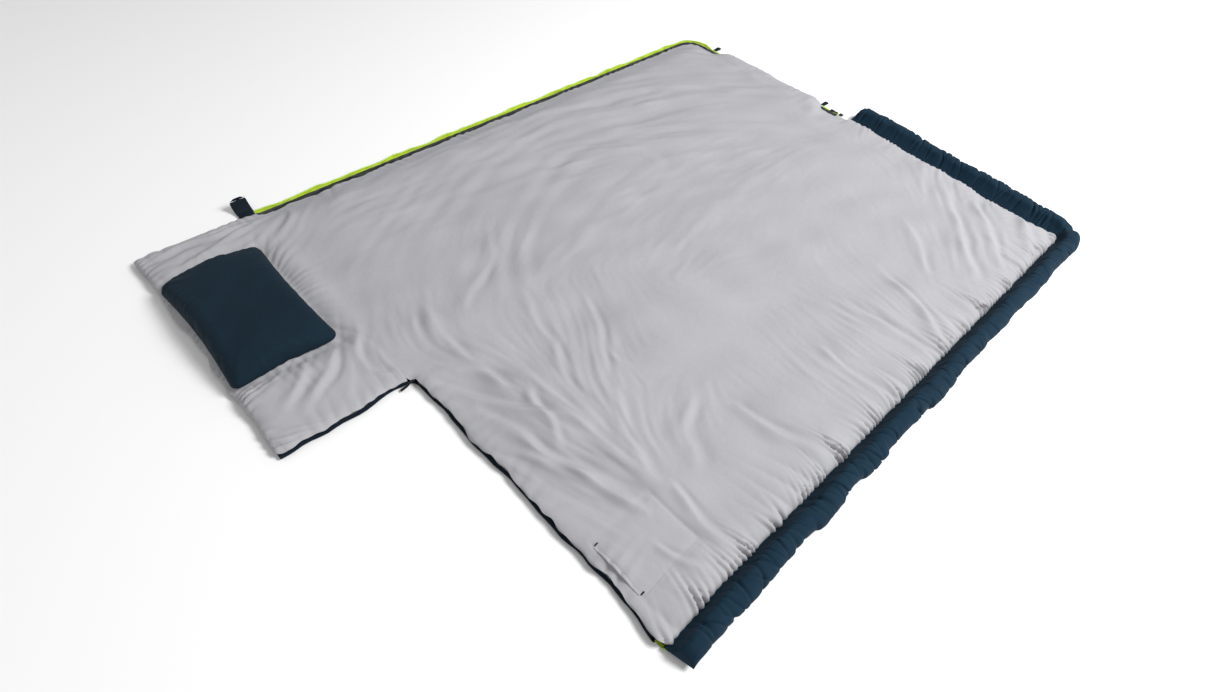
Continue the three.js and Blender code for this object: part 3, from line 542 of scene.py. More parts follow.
def closed_sheet(name, top, bottom, material):
    """A closed sheet between two grids of points, rows by columns by 3. Columns run along +X."""
    rows, columns = top.shape[:2]
    count = rows * columns
    faces = [grid_faces(rows, columns), grid_faces(rows, columns, count, True)]
    index = np.arange(count).reshape(rows, columns)
    rim = np.concatenate([index[0, :], index[1:, -1], index[-1, -2::-1], index[-2:0:-1, 0]])
    after = np.roll(rim, -1)
    faces.append(np.stack([rim, rim + count, after + count, after], 1))
    vertices = np.concatenate([top.reshape(-1, 3), bottom.reshape(-1, 3)])
    return sharpen(new_object(name, vertices, np.concatenate(faces), material), 60)


def round_corner(x, y, centre_x, centre_y, radius, sign_x, sign_y):
    """Moves the points beyond a corner's centre from a square corner onto a round one."""
    a = (x - centre_x) * sign_x / radius
    b = (y - centre_y) * sign_y / radius
    beyond = (a > 0) & (b > 0)
    a, b = np.clip(a, 0, 1), np.clip(b, 0, 1)
    round_a = a * np.sqrt(1 - b * b / 2)
    round_b = b * np.sqrt(1 - a * a / 2)
    x = np.where(beyond, centre_x + sign_x * radius * round_a, x)
    y = np.where(beyond, centre_y + sign_y * radius * round_b, y)
    return x, y


def graded(low, high, step, edge_step, reach=0.05):
    """Values from low to high, closer together near both ends."""
    count = int((high - low) / step * 4)
    t = np.linspace(0, 1, count)
    x = low + t * (high - low)
    nearest = np.minimum(x - low, high - x)
    density = 1 / (edge_step + (step - edge_step) * smooth(nearest / reach))
    total = np.concatenate([[0], np.cumsum((density[1:] + density[:-1]) / 2 * np.diff(x))])
    wanted = np.linspace(0, total[-1], int(total[-1]) + 2)
    return np.interp(wanted, total, x)


def body_grid(step, inset=0.0, row_step=None, edge=0.6):
    """Points of the two halves seen from above: rows along +Y, columns along +X."""
    row_step = row_step or step
    xs = graded(ZIP_X + inset, TUBE_X - inset, step, edge * step)
    ts = graded(0, 1, row_step / 1.96, min(edge * step / row_step, 1) * row_step / 1.96, 0.02)
    x, t = np.meshgrid(xs, ts)
    y = t * (FOOT_Y - HEAD_Y - 2 * inset) + HEAD_Y + inset
    x, y = round_corner(x, y, ZIP_X + ZIP_CORNER, FOOT_Y - ZIP_CORNER, ZIP_CORNER - inset, -1, 1)
    x, y = round_corner(x, y, TUBE_X - TUBE_CORNER, FOOT_Y - TUBE_CORNER, TUBE_CORNER - inset, 1, 1)
    x, y = round_corner(x, y, TUBE_X - HEAD_CORNER, HEAD_Y + HEAD_CORNER, HEAD_CORNER - inset, 1, -1)
    share = (y - HEAD_Y) / (FOOT_Y - HEAD_Y)
    y = y - (FOOT_Y - foot_seam(x)) * share
    below = (HEAD_Y - HINGE_Y + inset) * smooth((FOLD_X - x) / 0.012 + 0.5)
    y = y - below * np.clip(1 - share / 0.1, 0, 1)
    return x, y


def hood_grid(step, inset=0.0, edge=0.6):
    """Points of the hood, from its end to the hinge."""
    xs = graded(ZIP_X + inset, FOLD_X - inset, step, edge * step)
    ys = graded(HOOD_Y + inset, HINGE_Y, step, edge * step)
    x, y = np.meshgrid(xs, ys)
    radius = HOOD_CORNER - inset
    x, y = round_corner(x, y, ZIP_X + HOOD_CORNER, HOOD_Y + HOOD_CORNER, radius, -1, -1)
    x, y = round_corner(x, y, FOLD_X - HOOD_CORNER, HOOD_Y + HOOD_CORNER, radius, 1, -1)
    return x, y


def open_edges(x, y):
    """For each open edge, where no zip or tube is sewn: the distance in from it and the way out."""
    d = edge_distances(x, y)
    head = np.where(x > FOLD_X, d["notch"], 1)
    beside = np.where((x <= FOLD_X) & (y < HINGE_Y + 0.004), FOLD_X - x, 1)
    return {"head": (head, 0.0, -1.0), "hood": (d["hood"], 0.0, -1.0), "beside": (beside, 1.0, 0.0)}


def draw_in(x, y, amounts, reach=0.03):
    """Moves the points near the three open edges inwards, by uneven amounts."""
    reseed("edges drawn in")
    for (distance, out_x, out_y), amount in zip(open_edges(x, y).values(), amounts):
        s = x if out_x == 0 else y
        pull = amount * (1 + 0.6 * wander(s, 0.16) + 0.25 * wander(s, 0.04))
        pull = pull * (1 - smooth(distance / reach))
        x = x - out_x * pull
        y = y - out_y * pull
    return x, y


def stray(x, y):
    """How far the open edges lie in or out of straight."""
    reseed("edges astray")
    move_x, move_y = np.zeros_like(x), np.zeros_like(y)
    for distance, out_x, out_y in open_edges(x, y).values():
        s = x - FOLD_X if out_x == 0 else y - HEAD_Y
        amount = 0.0036 * wander(s, 0.26) + 0.0016 * wander(s, 0.09)
        amount = amount * (1 - smooth(distance / 0.08)) * smooth(np.abs(s) / 0.05)
        move_x = move_x + out_x * amount
        move_y = move_y + out_y * amount
    return move_x, move_y


def lining(name, grid, material):
    """The lining over a grid, a sheet one cloth thick."""
    x, y = draw_in(*grid, (0.0038, 0.0006, 0.0026))
    z = quilt_top(x, y)
    y = y + 0.016 * foot_puff(x) * (1 - smooth((foot_seam(x) - y) / 0.07))
    at_seam = 1 - smooth((TUBE_X - x) / 0.08)
    x = x + at_seam * (LAP + 0.55 * tube_gathers(y, TUBE_X - x))
    move_x, move_y = stray(*grid)
    x, y = x + move_x, y + move_y
    top = np.stack([x, y, z], 2)
    bottom = np.stack([x, y, z - CLOTH], 2)
    return closed_sheet(name, top, bottom, material)


def shell_height(x, y):
    """Height of the shell: flat on the floor, and up to the lining along the zip."""
    d = edge_distances(x, y)
    foot = np.where(x < FOLD_X - 0.03, d["foot"], 1)
    sewn = np.minimum(d["zip"], foot)
    return CLOTH + (SEAM_Z - 3 * CLOTH) * (1 - smooth(sewn / 0.030))


def shell(name, grid, material):
    """The shell over a grid: a flat sheet that turns up and over at the open edges."""
    reseed("shell")
    flat_x, flat_y = grid
    x, y = grid
    inner_x, inner_y = grid
    level = shell_height(x, y)
    turned = np.zeros_like(x)
    for edge, (distance, out_x, out_y) in open_edges(flat_x, flat_y).items():
        s = flat_x if out_x == 0 else flat_y
        swing = 1 + 0.10 * wander(s, 0.11) + 0.06 * wander(s, 0.04)
        q = np.clip(1 - distance / TURN, 0, 1)
        out = np.interp(q, TURN_SHARES, TURN_OUTS) - q * TURN
        if edge == "hood":
            out = out - q * (0.0034 + 0.0010 * wander(s, 0.06))
        x = x + out_x * out
        y = y + out_y * out
        turned = np.maximum(turned, np.interp(q, TURN_SHARES, TURN_UPS) * swing)
        inner_out = out - 0.7 * CLOTH * smooth(3 * q)
        inner_x = inner_x + out_x * inner_out
        inner_y = inner_y + out_y * inner_out
    move_x, move_y = stray(flat_x, flat_y)
    x, inner_x = x + move_x, inner_x + move_x
    y, inner_y = y + move_y, inner_y + move_y
    outer_z = np.maximum(level - CLOTH + turned, 0)
    inner_z = level + turned - 0.4 * CLOTH * smooth(turned / 0.02)
    top = np.stack([inner_x, inner_y, np.maximum(inner_z, outer_z + 0.0002)], 2)
    bottom = np.stack([x, y, outer_z], 2)
    return closed_sheet(name, top, bottom, material)


def wadding(name, grid, material):
    """The filling between shell and lining."""
    x, y = grid
    d = edge_distances(x, y)
    from_seam = np.minimum.reduce([d["tube"], d["foot"], d["hood"], d["notch"], d["zip"]])
    clear = 0.0045 + 0.0075 * (1 - smooth(from_seam / 0.14))
    top_z = np.maximum(quilt_top(x, y) - clear, 0.0035)
    bottom_z = np.minimum(shell_height(x, y) + 0.0012, top_z - 0.0008)
    top = np.stack([x, y, top_z], 2)
    bottom = np.stack([x, y, bottom_z], 2)
    return closed_sheet(name, top, bottom, material)


def seam_run(corners, radius, step=SEAM_STEP):
    """Points along a seam with one rounded corner, their outward directions and distances along
    it, and how far round the corner they are, from 0 to 1."""
    start, corner, end = (np.array(p, float) for p in corners)
    into = (corner - start) / np.linalg.norm(corner - start)
    out = (end - corner) / np.linalg.norm(end - corner)
    turn = math.acos(float(np.clip(into @ out, -1, 1)))
    reach = radius * math.tan(turn / 2)
    side = np.sign(into[0] * out[1] - into[1] * out[0])
    normal = np.array([into[1], -into[0]]) * side
    centre = corner - into * reach - normal * radius
    before, arc = np.linalg.norm(corner - start) - reach, radius * turn
    total = sum((before, arc, np.linalg.norm(end - corner) - reach))
    s = np.linspace(0, total, int(total / step) + 1)
    share = np.clip((s - before) / arc, 0, 1)
    angle = share * turn * side
    cos, sin = np.cos(angle), np.sin(angle)
    outward = np.stack([normal[0] * cos - normal[1] * sin, normal[0] * sin + normal[1] * cos], 1)
    first = start + into * np.minimum(s, before)[:, None]
    on_arc = centre + outward * radius
    last = end - out * np.maximum(total - s, 0)[:, None]
    points = np.where((s > before + arc)[:, None], last, np.where((s > before)[:, None], on_arc, first))
    return {"points": points, "outward": outward, "s": s, "corner": share, "total": total}


def cut_run(run, low, high):
    """The part of a run between two distances along it."""
    keep = (run["s"] >= low) & (run["s"] <= high)
    return {k: (v[keep] if isinstance(v, np.ndarray) else v) for k, v in run.items()}


def beside_run(run, offsets):
    """Places at distances outward from the points of a run."""
    x = run["points"][:, :1] + run["outward"][:, :1] * offsets
    y = run["points"][:, 1:] + run["outward"][:, 1:] * offsets
    return x, y


def capped_rings(rows, columns):
    """Faces of a closed form made of rings, one ring a row, with a cap on each end."""
    index = np.arange(rows * columns).reshape(rows, columns)
    after = np.roll(index, -1, axis=1)
    sides = np.stack([index[:-1], after[:-1], after[1:], index[1:]], 2).reshape(-1, 4)
    return [*map(tuple, sides), tuple(index[0][::-1]), tuple(index[-1])]


def swept(name, run, offsets, heights, material, crisp=None):
    """A closed band along a run. offsets (outward) and heights are points of the run by section."""
    x, y = beside_run(run, offsets)
    vertices = np.stack([x, y, heights], 2).reshape(-1, 3)
    piece = fix_normals(new_object(name, vertices, capped_rings(*offsets.shape), material))
    return sharpen(piece, crisp) if crisp else piece


def fix_normals(piece):
    """Turns a closed mesh's faces outwards."""
    bm = bmesh.new()
    bm.from_mesh(piece.data)
    bmesh.ops.recalc_face_normals(bm, faces=bm.faces)
    bm.to_mesh(piece.data)
    bm.free()
    return piece


# ---- draught tubes ----

def tube_section(steps=44):
    """A teardrop: offset outward and height of points round the tube, pointed at the seam."""
    radius = 0.5 * (TUBE_TOP - 0.002)
    centre = np.array([TUBE_REACH - radius, 0.002 + radius])
    apex = np.array([-0.004, 0.0068])
    to_apex = apex - centre
    distance = math.hypot(*to_apex)
    base = math.atan2(to_apex[1], to_apex[0])
    half = math.acos(radius / distance)
    angle = np.linspace(base - half, base + half - 2 * math.pi, steps)
    arc = np.stack([centre[0] + radius * np.cos(angle), centre[1] + radius * np.sin(angle)], 1)
    side = 9
    t = np.linspace(0, 1, side + 1)[:, None]
    bulge = np.sin(math.pi * t[1:-1]) * -0.0018
    upper = apex * (1 - t[1:-1]) + arc[0] * t[1:-1]
    upper = upper + bulge * np.array([-0.45, 0.9])
    lower = arc[-1] * (1 - t[1:-1]) + apex * t[1:-1]
    return np.concatenate([[apex], upper, arc, lower]), centre


def cross_creases(s, around):
    """Depth of the crosswise creases of a stuffed tube. around is 0 at the seam to 1."""
    depth = np.zeros(np.broadcast(s, around).shape)
    position = float(s.min())
    while position < s.max():
        position += RANDOM.uniform(0.006, 0.030)
        lean = RANDOM.uniform(-0.05, 0.12)
        width = RANDOM.uniform(0.0018, 0.0042)
        reach = RANDOM.uniform(0.10, 0.40)
        centre = RANDOM.choice([0.02, 0.10, 0.22, 0.40, 0.5])
        line = s - position - lean * (around - 0.3) - 0.003 * np.sin(9 * around + 50 * position)
        along = np.exp(-(((around - centre) / reach) ** 2))
        side = np.where(line > 0, 1.7, 0.8)
        depth -= RANDOM.uniform(0.0014, 0.0060) * along * np.exp(-((line / (side * width)) ** 2))
    return depth


def tube_size(s, steps, sharp):
    """How wide and high a tube is along its run, as shares of its full width and height."""
    width = 0.985 + 0.022 * wander(s, 0.33) + 0.012 * wander(s, 0.09)
    height = 0.90 + 0.035 * wander(s, 0.40) + 0.015 * wander(s, 0.12)
    for place, change in steps:
        width = width + change * (smooth((s - place) / 0.012 + 0.5) - smooth((s - place) / 0.16))
    return width * (1 + 0.06 * sharp), height


def tube_relief(s, around, corner):
    """Depth of a tube's creases and bumps, with a deep crease where it turns the corner."""
    relief = cross_creases(s, around)
    relief += 0.0008 * ripple(s, around * 0.25, 0.06) + 0.0003 * ripple(s, around * 0.25, 0.03)
    at_turn = np.exp(-(((corner - 0.55) / 0.10) ** 2)) * (np.sin(math.pi * corner) ** 2 > 0)
    return relief - 0.010 * at_turn


def fullness(s, flat_start):
    """How open a tube is, from nearly flat at its sewn end, its start or its end, to 1."""
    from_end = s - s[0] if flat_start else s[-1] - s
    flattest, reach = (0.10, 0.045) if flat_start else (0.45, 0.025)
    return flattest + (1 - flattest) * swell(from_end, reach)


def draught_tube(name, run, material, shape, steps, flat_start, shrink=0.0, trim=0.0):
    """A stuffed tube sewn along the run, with creases across it and steps in its outer edge.
    shrink and trim make the filling: how far it lies inside the casing, and short of its ends."""
    reseed(shape)
    section, centre = tube_section()
    s, corner = run["s"][:, None], run["corner"][:, None]
    around = (np.arange(len(section)) / len(section))[None, :]
    sharp = np.sin(math.pi * corner) ** 2
    width, height = tube_size(s, steps, sharp)
    normal = section - centre
    normal = normal / np.linalg.norm(normal, axis=1)[:, None]
    free = smooth(np.minimum(around, 1 - around) / 0.06)
    moved = (tube_relief(s, around, corner) - shrink) * free
    offsets = section[None, :, 0] * width + normal[None, :, 0] * moved
    lap = (LAP - 0.004) * np.maximum(run["outward"][:, :1], 0)
    offsets = offsets + lap * (1 - smooth(offsets / 0.055))
    offsets = offsets - 0.010 * sharp * (1 - smooth(offsets / 0.035))
    heights = section[None, :, 1] * height + normal[None, :, 1] * moved
    middle = centre[1] * 0.35
    heights = middle + (heights - middle) * fullness(s, flat_start)
    run = {
        **run,
        "offsets": np.minimum(offsets, TUBE_REACH * 1.16 - shrink),
        "heights": np.maximum(heights, 0.0012 + shrink),
    }
    inside = cut_run(run, run["s"][0] + trim, run["s"][-1] - trim)
    return swept(name, inside, inside["offsets"], inside["heights"], material)


# ---- materials ----

def nodes_of(name):
    """A new material with its node tree and its shader."""
    material = bpy.data.materials.new(name)
    material.use_nodes = True
    tree = material.node_tree
    tree.nodes.clear()
    output = tree.nodes.new("ShaderNodeOutputMaterial")
    shader = tree.nodes.new("ShaderNodeBsdfPrincipled")
    tree.links.new(shader.outputs[0], output.inputs[0])
    return material, tree, shader


def mapped(tree, scale, turn=(0, 0, 0)):
    """Places on the object, scaled and turned."""
    place = tree.nodes.new("ShaderNodeTexCoord")
    mapping = tree.nodes.new("ShaderNodeMapping")
    mapping.inputs["Scale"].default_value = scale
    mapping.inputs["Rotation"].default_value = turn
    tree.links.new(place.outputs["Object"], mapping.inputs["Vector"])
    return mapping.outputs[0]


def noise(tree, scale, detail=2.0, distortion=0.0):
    """Noise with so many bumps to a metre, along all axes or each."""
    scale = scale if isinstance(scale, tuple) else (scale, scale, scale)
    node = tree.nodes.new("ShaderNodeTexNoise")
    node.inputs["Scale"].default_value = 1.0
    node.inputs["Detail"].default_value = detail
    node.inputs["Distortion"].default_value = distortion
    tree.links.new(mapped(tree, scale), node.inputs["Vector"])
    return node.outputs["Fac"]


def math_node(tree, operation, a, b):
    """The result of an operation on two values or numbers."""
    node = tree.nodes.new("ShaderNodeMath")
    node.operation = operation
    for socket, value in zip(node.inputs, (a, b)):
        if isinstance(value, (int, float)):
            socket.default_value = value
        else:
            tree.links.new(value, socket)
    return node.outputs[0]


def weighed(tree, *parts):
    """The sum of values, each times its weight."""
    total = None
    for value, weight in parts:
        part = math_node(tree, "MULTIPLY", value, weight)
        total = part if total is None else math_node(tree, "ADD", total, part)
    return total


def weave(tree, pitch):
    """A plain weave: threads that rise and dive in turn, from 0 to 1."""
    waves = []
    for direction in ("X", "Y"):
        node = tree.nodes.new("ShaderNodeTexWave")
        node.wave_type = "BANDS"
        node.bands_direction = direction
        node.inputs["Scale"].default_value = 0.1 / pitch
        node.inputs["Distortion"].default_value = 0.6
        node.inputs["Detail"].default_value = 1.0
        turn = (0.35, 0.0, 0.0) if direction == "X" else (0.0, 0.35, 0.0)
        tree.links.new(mapped(tree, (1, 1, 1), turn), node.inputs["Vector"])
        waves.append(node.outputs["Fac"])
    return math_node(tree, "MULTIPLY", waves[0], waves[1])


def ramp(tree, value, stops):
    """Colours along a value, from stops of a position and a colour."""
    node = tree.nodes.new("ShaderNodeValToRGB")
    elements = node.color_ramp.elements
    while len(elements) < len(stops):
        elements.new(0.5)
    for element, (position, colour) in zip(elements, stops):
        element.position = position
        element.color = (*colour, 1)
    tree.links.new(value, node.inputs[0])
    return node.outputs[0]


def shaded(colour, factor):
    """A colour made lighter or darker."""
    return tuple(min(1.0, c * factor) for c in colour)


def linear(red, green, blue):
    """A colour from screen values to the shader's linear ones."""
    values = []
    for c in (red / 255, green / 255, blue / 255):
        values.append(c / 12.92 if c <= 0.04045 else ((c + 0.055) / 1.055) ** 2.4)
    return tuple(values)


def surface(material, tree, shader, tone, stops, rough, height, depth, strength=1.0):
    """Gives a material its colours, roughness and relief. rough is a value, its weight and the rest."""
    tree.links.new(ramp(tree, tone, stops), shader.inputs["Base Color"])
    value, weight, rest = rough
    uneven = math_node(tree, "ADD", math_node(tree, "MULTIPLY", value, weight), rest)
    tree.links.new(uneven, shader.inputs["Roughness"])
    bump = tree.nodes.new("ShaderNodeBump")
    bump.inputs["Strength"].default_value = strength
    bump.inputs["Distance"].default_value = depth
    tree.links.new(height, bump.inputs["Height"])
    tree.links.new(bump.outputs[0], shader.inputs["Normal"])
    return material


def fabric(name, colour, pitch=0.0009, roughness=0.8, sheen=0.25, contrast=0.05, relief=0.35,
           crumple=0.5, gloss=0.12):
    """Woven cloth: threads, slubs, soft crumples, uneven dye and a light sheen."""
    material, tree, shader = nodes_of(name)
    threads = weave(tree, pitch)
    slubs = math_node(tree, "ADD", noise(tree, (900, 70, 300)), noise(tree, (70, 900, 300)))
    slubs = math_node(tree, "MULTIPLY", slubs, 0.5)
    tone = weighed(tree, (noise(tree, 5, 3.0), 0.35), (slubs, 0.30), (noise(tree, 330, 3.0), 0.35))
    tone = weighed(tree, (tone, 0.85), (threads, 0.15))
    dark, light = shaded(colour, 1 - 2 * contrast), shaded(colour, 1 + 1.6 * contrast)
    crumples = math_node(tree, "MULTIPLY", noise(tree, 26, 4.0, distortion=0.6), 2.2)
    crumples = math_node(tree, "ADD", crumples, noise(tree, 80, 3.0, distortion=0.4))
    height = weighed(tree, (crumples, crumple), (slubs, 0.5), (threads, relief))
    shader.inputs["Sheen Weight"].default_value = sheen
    shader.inputs["Sheen Roughness"].default_value = 0.45
    shader.inputs["Specular IOR Level"].default_value = gloss
    stops = [(0.25, dark), (0.5, colour), (0.75, light)]
    rough = (noise(tree, 14), 0.14, roughness - 0.07)
    return surface(material, tree, shader, tone, stops, rough, height, 0.001, 0.55)


def batting(name):
    """Loose white fibre."""
    material, tree, shader = nodes_of(name)
    fibres = noise(tree, (160, 420, 260), 6.0, distortion=2.0)
    stops = [(0.3, (0.62, 0.61, 0.58)), (0.7, (0.86, 0.86, 0.83))]
    return surface(material, tree, shader, fibres, stops, (fibres, 0.1, 0.88), fibres, 0.003)


def moulded(name, colour, roughness=0.38):
    """Moulded plastic with a fine texture and scuffed high spots."""
    material, tree, shader = nodes_of(name)
    scuff = noise(tree, 220, 4.0)
    stops = [(0.35, colour), (0.62, shaded(colour, 1.25)), (0.8, shaded(colour, 2.2))]
    rough = (scuff, 0.3, roughness - 0.1)
    return surface(material, tree, shader, scuff, stops, rough, noise(tree, 1500, 3.0), 0.0002)


def ribbed(name, colour, pitch, dark=0.55):
    """Narrow woven tape or thread: ribs across it in two tones."""
    material, tree, shader = nodes_of(name)
    threads = weave(tree, pitch)
    dye = noise(tree, 30, 3.0)
    shader.inputs["Sheen Weight"].default_value = 0.03
    shader.inputs["Specular IOR Level"].default_value = 0.12
    tone = weighed(tree, (threads, 0.4), (dye, 0.6))
    stops = [(0.2, shaded(colour, dark)), (0.45, colour), (0.75, shaded(colour, 1.18))]
    return surface(material, tree, shader, tone, stops, (dye, 0.2, 0.6), threads, 0.0006, 0.7)


LOOKS = {
    "lining": fabric("lining_cloth", linear(168, 168, 172), roughness=0.95, sheen=0.03, contrast=0.06,
                     gloss=0.06, crumple=0.9),
    "shell": fabric("shell_cloth", linear(11, 24, 36), contrast=0.06, sheen=0.02),
    "tube": fabric("tube_cloth", linear(20, 44, 60), contrast=0.12, sheen=0.02, roughness=0.85,
                   crumple=1.0),
    "pillow": fabric("pillow_cloth", linear(20, 38, 50), contrast=0.16, sheen=0.02, roughness=0.88,
                     crumple=0.8),
    "wadding": batting("hollow_fibre"),
    "zip_tape": ribbed("zip_tape_cloth", linear(176, 202, 48), 0.0012),
    "zip_coil": moulded("zip_coil_plastic", linear(190, 222, 84), 0.45),
    "band": fabric("band_cloth", linear(20, 26, 32), pitch=0.0012, contrast=0.08, crumple=0.3),
    "webbing": ribbed("webbing_cloth", linear(14, 30, 44), 0.0018),
    "hook": fabric("hook_cloth", linear(16, 26, 35), pitch=0.0016, contrast=0.1, relief=1.5),
    "fitting": moulded("fitting_plastic", linear(30, 33, 37)),
    "elastic": ribbed("elastic_cloth", linear(225, 225, 220), 0.0016, dark=0.8),
    "thread": ribbed("thread", linear(150, 152, 158), 0.0004),
    "dark_thread": ribbed("dark_thread", linear(16, 22, 28), 0.0004),
}


# ---- pieces, their bodies and the CAD nodes they replace ----

def dress(piece, slot_name, body, *replaced):
    """Attaches a piece to the body it rides and hides the CAD nodes it stands for. slot_name, its material
    slot, is not used.
    """
    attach(piece, body)
    if replaced:
        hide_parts(*replaced)
    return piece


def across_fold(piece, slot_name, *replaced):
    """A piece of cloth that spans the fold between the halves: hides the CAD nodes it stands for and bakes
    its transform.
    """
    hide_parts(*replaced)
    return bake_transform(piece)


def across_hinge(piece, slot_name, *replaced):
    """A piece of cloth that spans the hood's hinge: hides the CAD nodes it stands for and bakes its
    transform.
    """
    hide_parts(*replaced)
    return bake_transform(piece)


def make_quilt():
    """The lining and shell, each one cloth for both halves and one for the hood."""
    piece = lining("lining_main", body_grid(LINING_STEP, row_step=LINING_ROW_STEP, edge=0.5), LOOKS["lining"])
    across_fold(piece, "lining", "lining_bottom", "lining_top", "pocket_bag")
    piece = lining("lining_hood_cloth", hood_grid(HOOD_LINING_STEP), LOOKS["lining"])
    across_hinge(piece, "lining", "lining_hood")
    piece = shell("shell_main", body_grid(SHELL_STEP, edge=0.08), LOOKS["shell"])
    across_fold(piece, "shell", "shell_bottom", "shell_top")
    piece = shell("shell_hood_cloth", hood_grid(SHELL_STEP, edge=0.08), LOOKS["shell"])
    across_hinge(piece, "shell", "shell_hood")


def make_wadding():
    """The filling of the two halves and the hood. It stays clear of the cloth that bends."""
    inset, clear = 0.010, BEND + 0.006
    x, y = body_grid(WADDING_STEP, inset)
    left = x[0] < FOLD_X - clear
    right = x[0] > FOLD_X + clear
    for name, grid, body, node in (
        ("wadding_lower", (x[:, left], y[:, left]), "lower_half", "wadding_bottom"),
        ("wadding_upper", (x[:, right], y[:, right]), "upper_half", "wadding_top"),
        ("wadding_hood_fibre", hood_grid(WADDING_STEP, inset), "hood", "wadding_hood"),
    ):
        piece = wadding(name, grid, LOOKS["wadding"])
        dress(piece, "wadding", body, node)


def tube_side_run(end_x, end_y, step=SEAM_STEP):
    """The seam on the tube's side, from the head round the corner to a point on the foot seam."""
    corners = [(TUBE_X, HEAD_Y + 0.006), (TUBE_X, FOOT_Y - FOOT_SWEEP), (end_x, end_y)]
    return seam_run(corners, TUBE_CORNER, step)


LOWER_RUN = seam_run([(ZIP_X, HEAD_Y), (ZIP_X, FOOT_Y), (FOLD_X - 0.056, FOOT_Y)], ZIP_CORNER)
UPPER_RUN = tube_side_run(FOLD_X + 0.002, FOOT_Y, TUBE_STEP)


def make_tubes():
    """The two stretches of draught tube and their filling. Steps are places in the outer edge
    along the run where the tube grows or shrinks, as (distance, share of the width)."""
    corner_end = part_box("draught_tube_foot_casing")[1].x
    side_end = UPPER_RUN["s"][np.argmax(UPPER_RUN["points"][:, 0] < corner_end - 0.004)]
    side = cut_run(UPPER_RUN, 0, side_end)
    foot = cut_run(UPPER_RUN, side_end + 0.001, UPPER_RUN["total"])
    side_steps = [(0.33, -0.05), (0.41, 0.06), (0.515, -0.07), (0.60, 0.07)]
    side_steps += [(0.70, -0.07), (0.91, 0.08), (1.22, -0.07)]
    foot_steps = [(side_end + 0.25, -0.08), (side_end + 0.52, 0.06)]
    for name, run, shape, steps, flat_start in (
        ("draught_tube_side", side, "tube side", side_steps, True),
        ("draught_tube_foot", foot, "tube foot", foot_steps, False),
    ):
        piece = draught_tube(name, run, LOOKS["tube"], shape, steps, flat_start)
        dress(piece, "tube", "upper_half", f"{name}_casing")
        piece = draught_tube(
            f"{name}_fibre", run, LOOKS["wadding"], shape, steps, flat_start, FIBRE_INSIDE, FIBRE_SHORT
        )
        dress(piece, "wadding", "upper_half", f"{name}_filling")


def under_pressure(piece, pressure, frames):
    """Swells a closed mesh as cloth under pressure and returns its points."""
    cloth = piece.modifiers.new("cloth", "CLOTH")
    settings = cloth.settings
    settings.quality = 6
    settings.mass = 0.2
    settings.tension_stiffness = settings.compression_stiffness = 20
    settings.shear_stiffness = 8
    settings.bending_stiffness = 0.4
    settings.use_pressure = True
    settings.uniform_pressure_force = pressure
    settings.effector_weights.gravity = 0
    cloth.collision_settings.use_collision = False
    scene = bpy.context.scene
    for step in range(1, frames + 1):
        scene.frame_set(step)
    settled = piece.evaluated_get(bpy.context.evaluated_depsgraph_get())
    points = np.zeros(len(piece.data.vertices) * 3, np.float32)
    settled.data.vertices.foreach_get("co", points)
    piece.modifiers.remove(cloth)
    scene.frame_set(1)
    return points.reshape(-1, 3).astype(float)


def flat_pillow(low, high):
    """The pillow's cover before it is filled: two flat faces that meet at a seam all round."""
    grow_x, grow_y, corner = 0.012, 0.016, 0.030
    xs = np.linspace(low.x - grow_x, high.x + grow_x, 84)
    ys = np.linspace(low.y - grow_y, high.y + grow_y, 46)
    x, y = np.meshgrid(xs, ys)
    for sign_x in (-1, 1):
        for sign_y in (-1, 1):
            centre_x = (xs[-1] if sign_x > 0 else xs[0]) - sign_x * corner
            centre_y = (ys[-1] if sign_y > 0 else ys[0]) - sign_y * corner
            x, y = round_corner(x, y, centre_x, centre_y, corner, sign_x, sign_y)
    inside = np.minimum.outer(*(np.minimum(a - a[0], a[-1] - a) for a in (ys, xs)))
    puff = 0.010 * np.sqrt(np.clip(inside / 0.05, 0, 1))
    top = np.stack([x, y, low.z + puff * (1 + 0.03 * ripple(x, y, 0.05))], 2)
    bottom = np.stack([x, y, low.z - puff], 2)
    piece = closed_sheet("pillow", top, bottom, LOOKS["pillow"])
    bm = bmesh.new()
    bm.from_mesh(piece.data)
    bmesh.ops.remove_doubles(bm, verts=bm.verts, dist=0.00005)
    for edge in bm.edges:
        edge.smooth = True
    bm.to_mesh(piece.data)
    bm.free()
    return piece


def set_points(piece, points):
    """Moves a piece's vertices."""
    piece.data.vertices.foreach_set("co", points.astype(np.float32).ravel())
    piece.data.update()


def copy_of(piece, name, points, material):
    """A second piece of the same form, at other points."""
    twin = bpy.data.objects.new(name, piece.data.copy())
    bpy.context.scene.collection.objects.link(twin)
    set_points(twin, points)
    twin.data.materials.clear()
    twin.data.materials.append(material)
    return twin


def fitted(points, low, high):
    """The swollen pillow's points fitted to its box, its seam kept low, and how far each has risen."""
    for axis in (0, 1):
        first, last = points[:, axis].min(), points[:, axis].max()
        middle = (low[axis] + high[axis]) / 2
        offset = points[:, axis] - (first + last) / 2
        points[:, axis] = middle + offset * (high[axis] - low[axis]) / (last - first)
    bottom, top = points[:, 2].min(), points[:, 2].max()
    middle = (bottom + top) / 2
    crown = PILLOW_TOP - low.z
    rise = (points[:, 2] - middle) / (top - middle)
    seam = low.z + 0.14 * crown
    points[:, 2] = np.where(rise > 0, seam + rise * (PILLOW_TOP - seam), seam + rise * 0.5 * crown)
    return rise


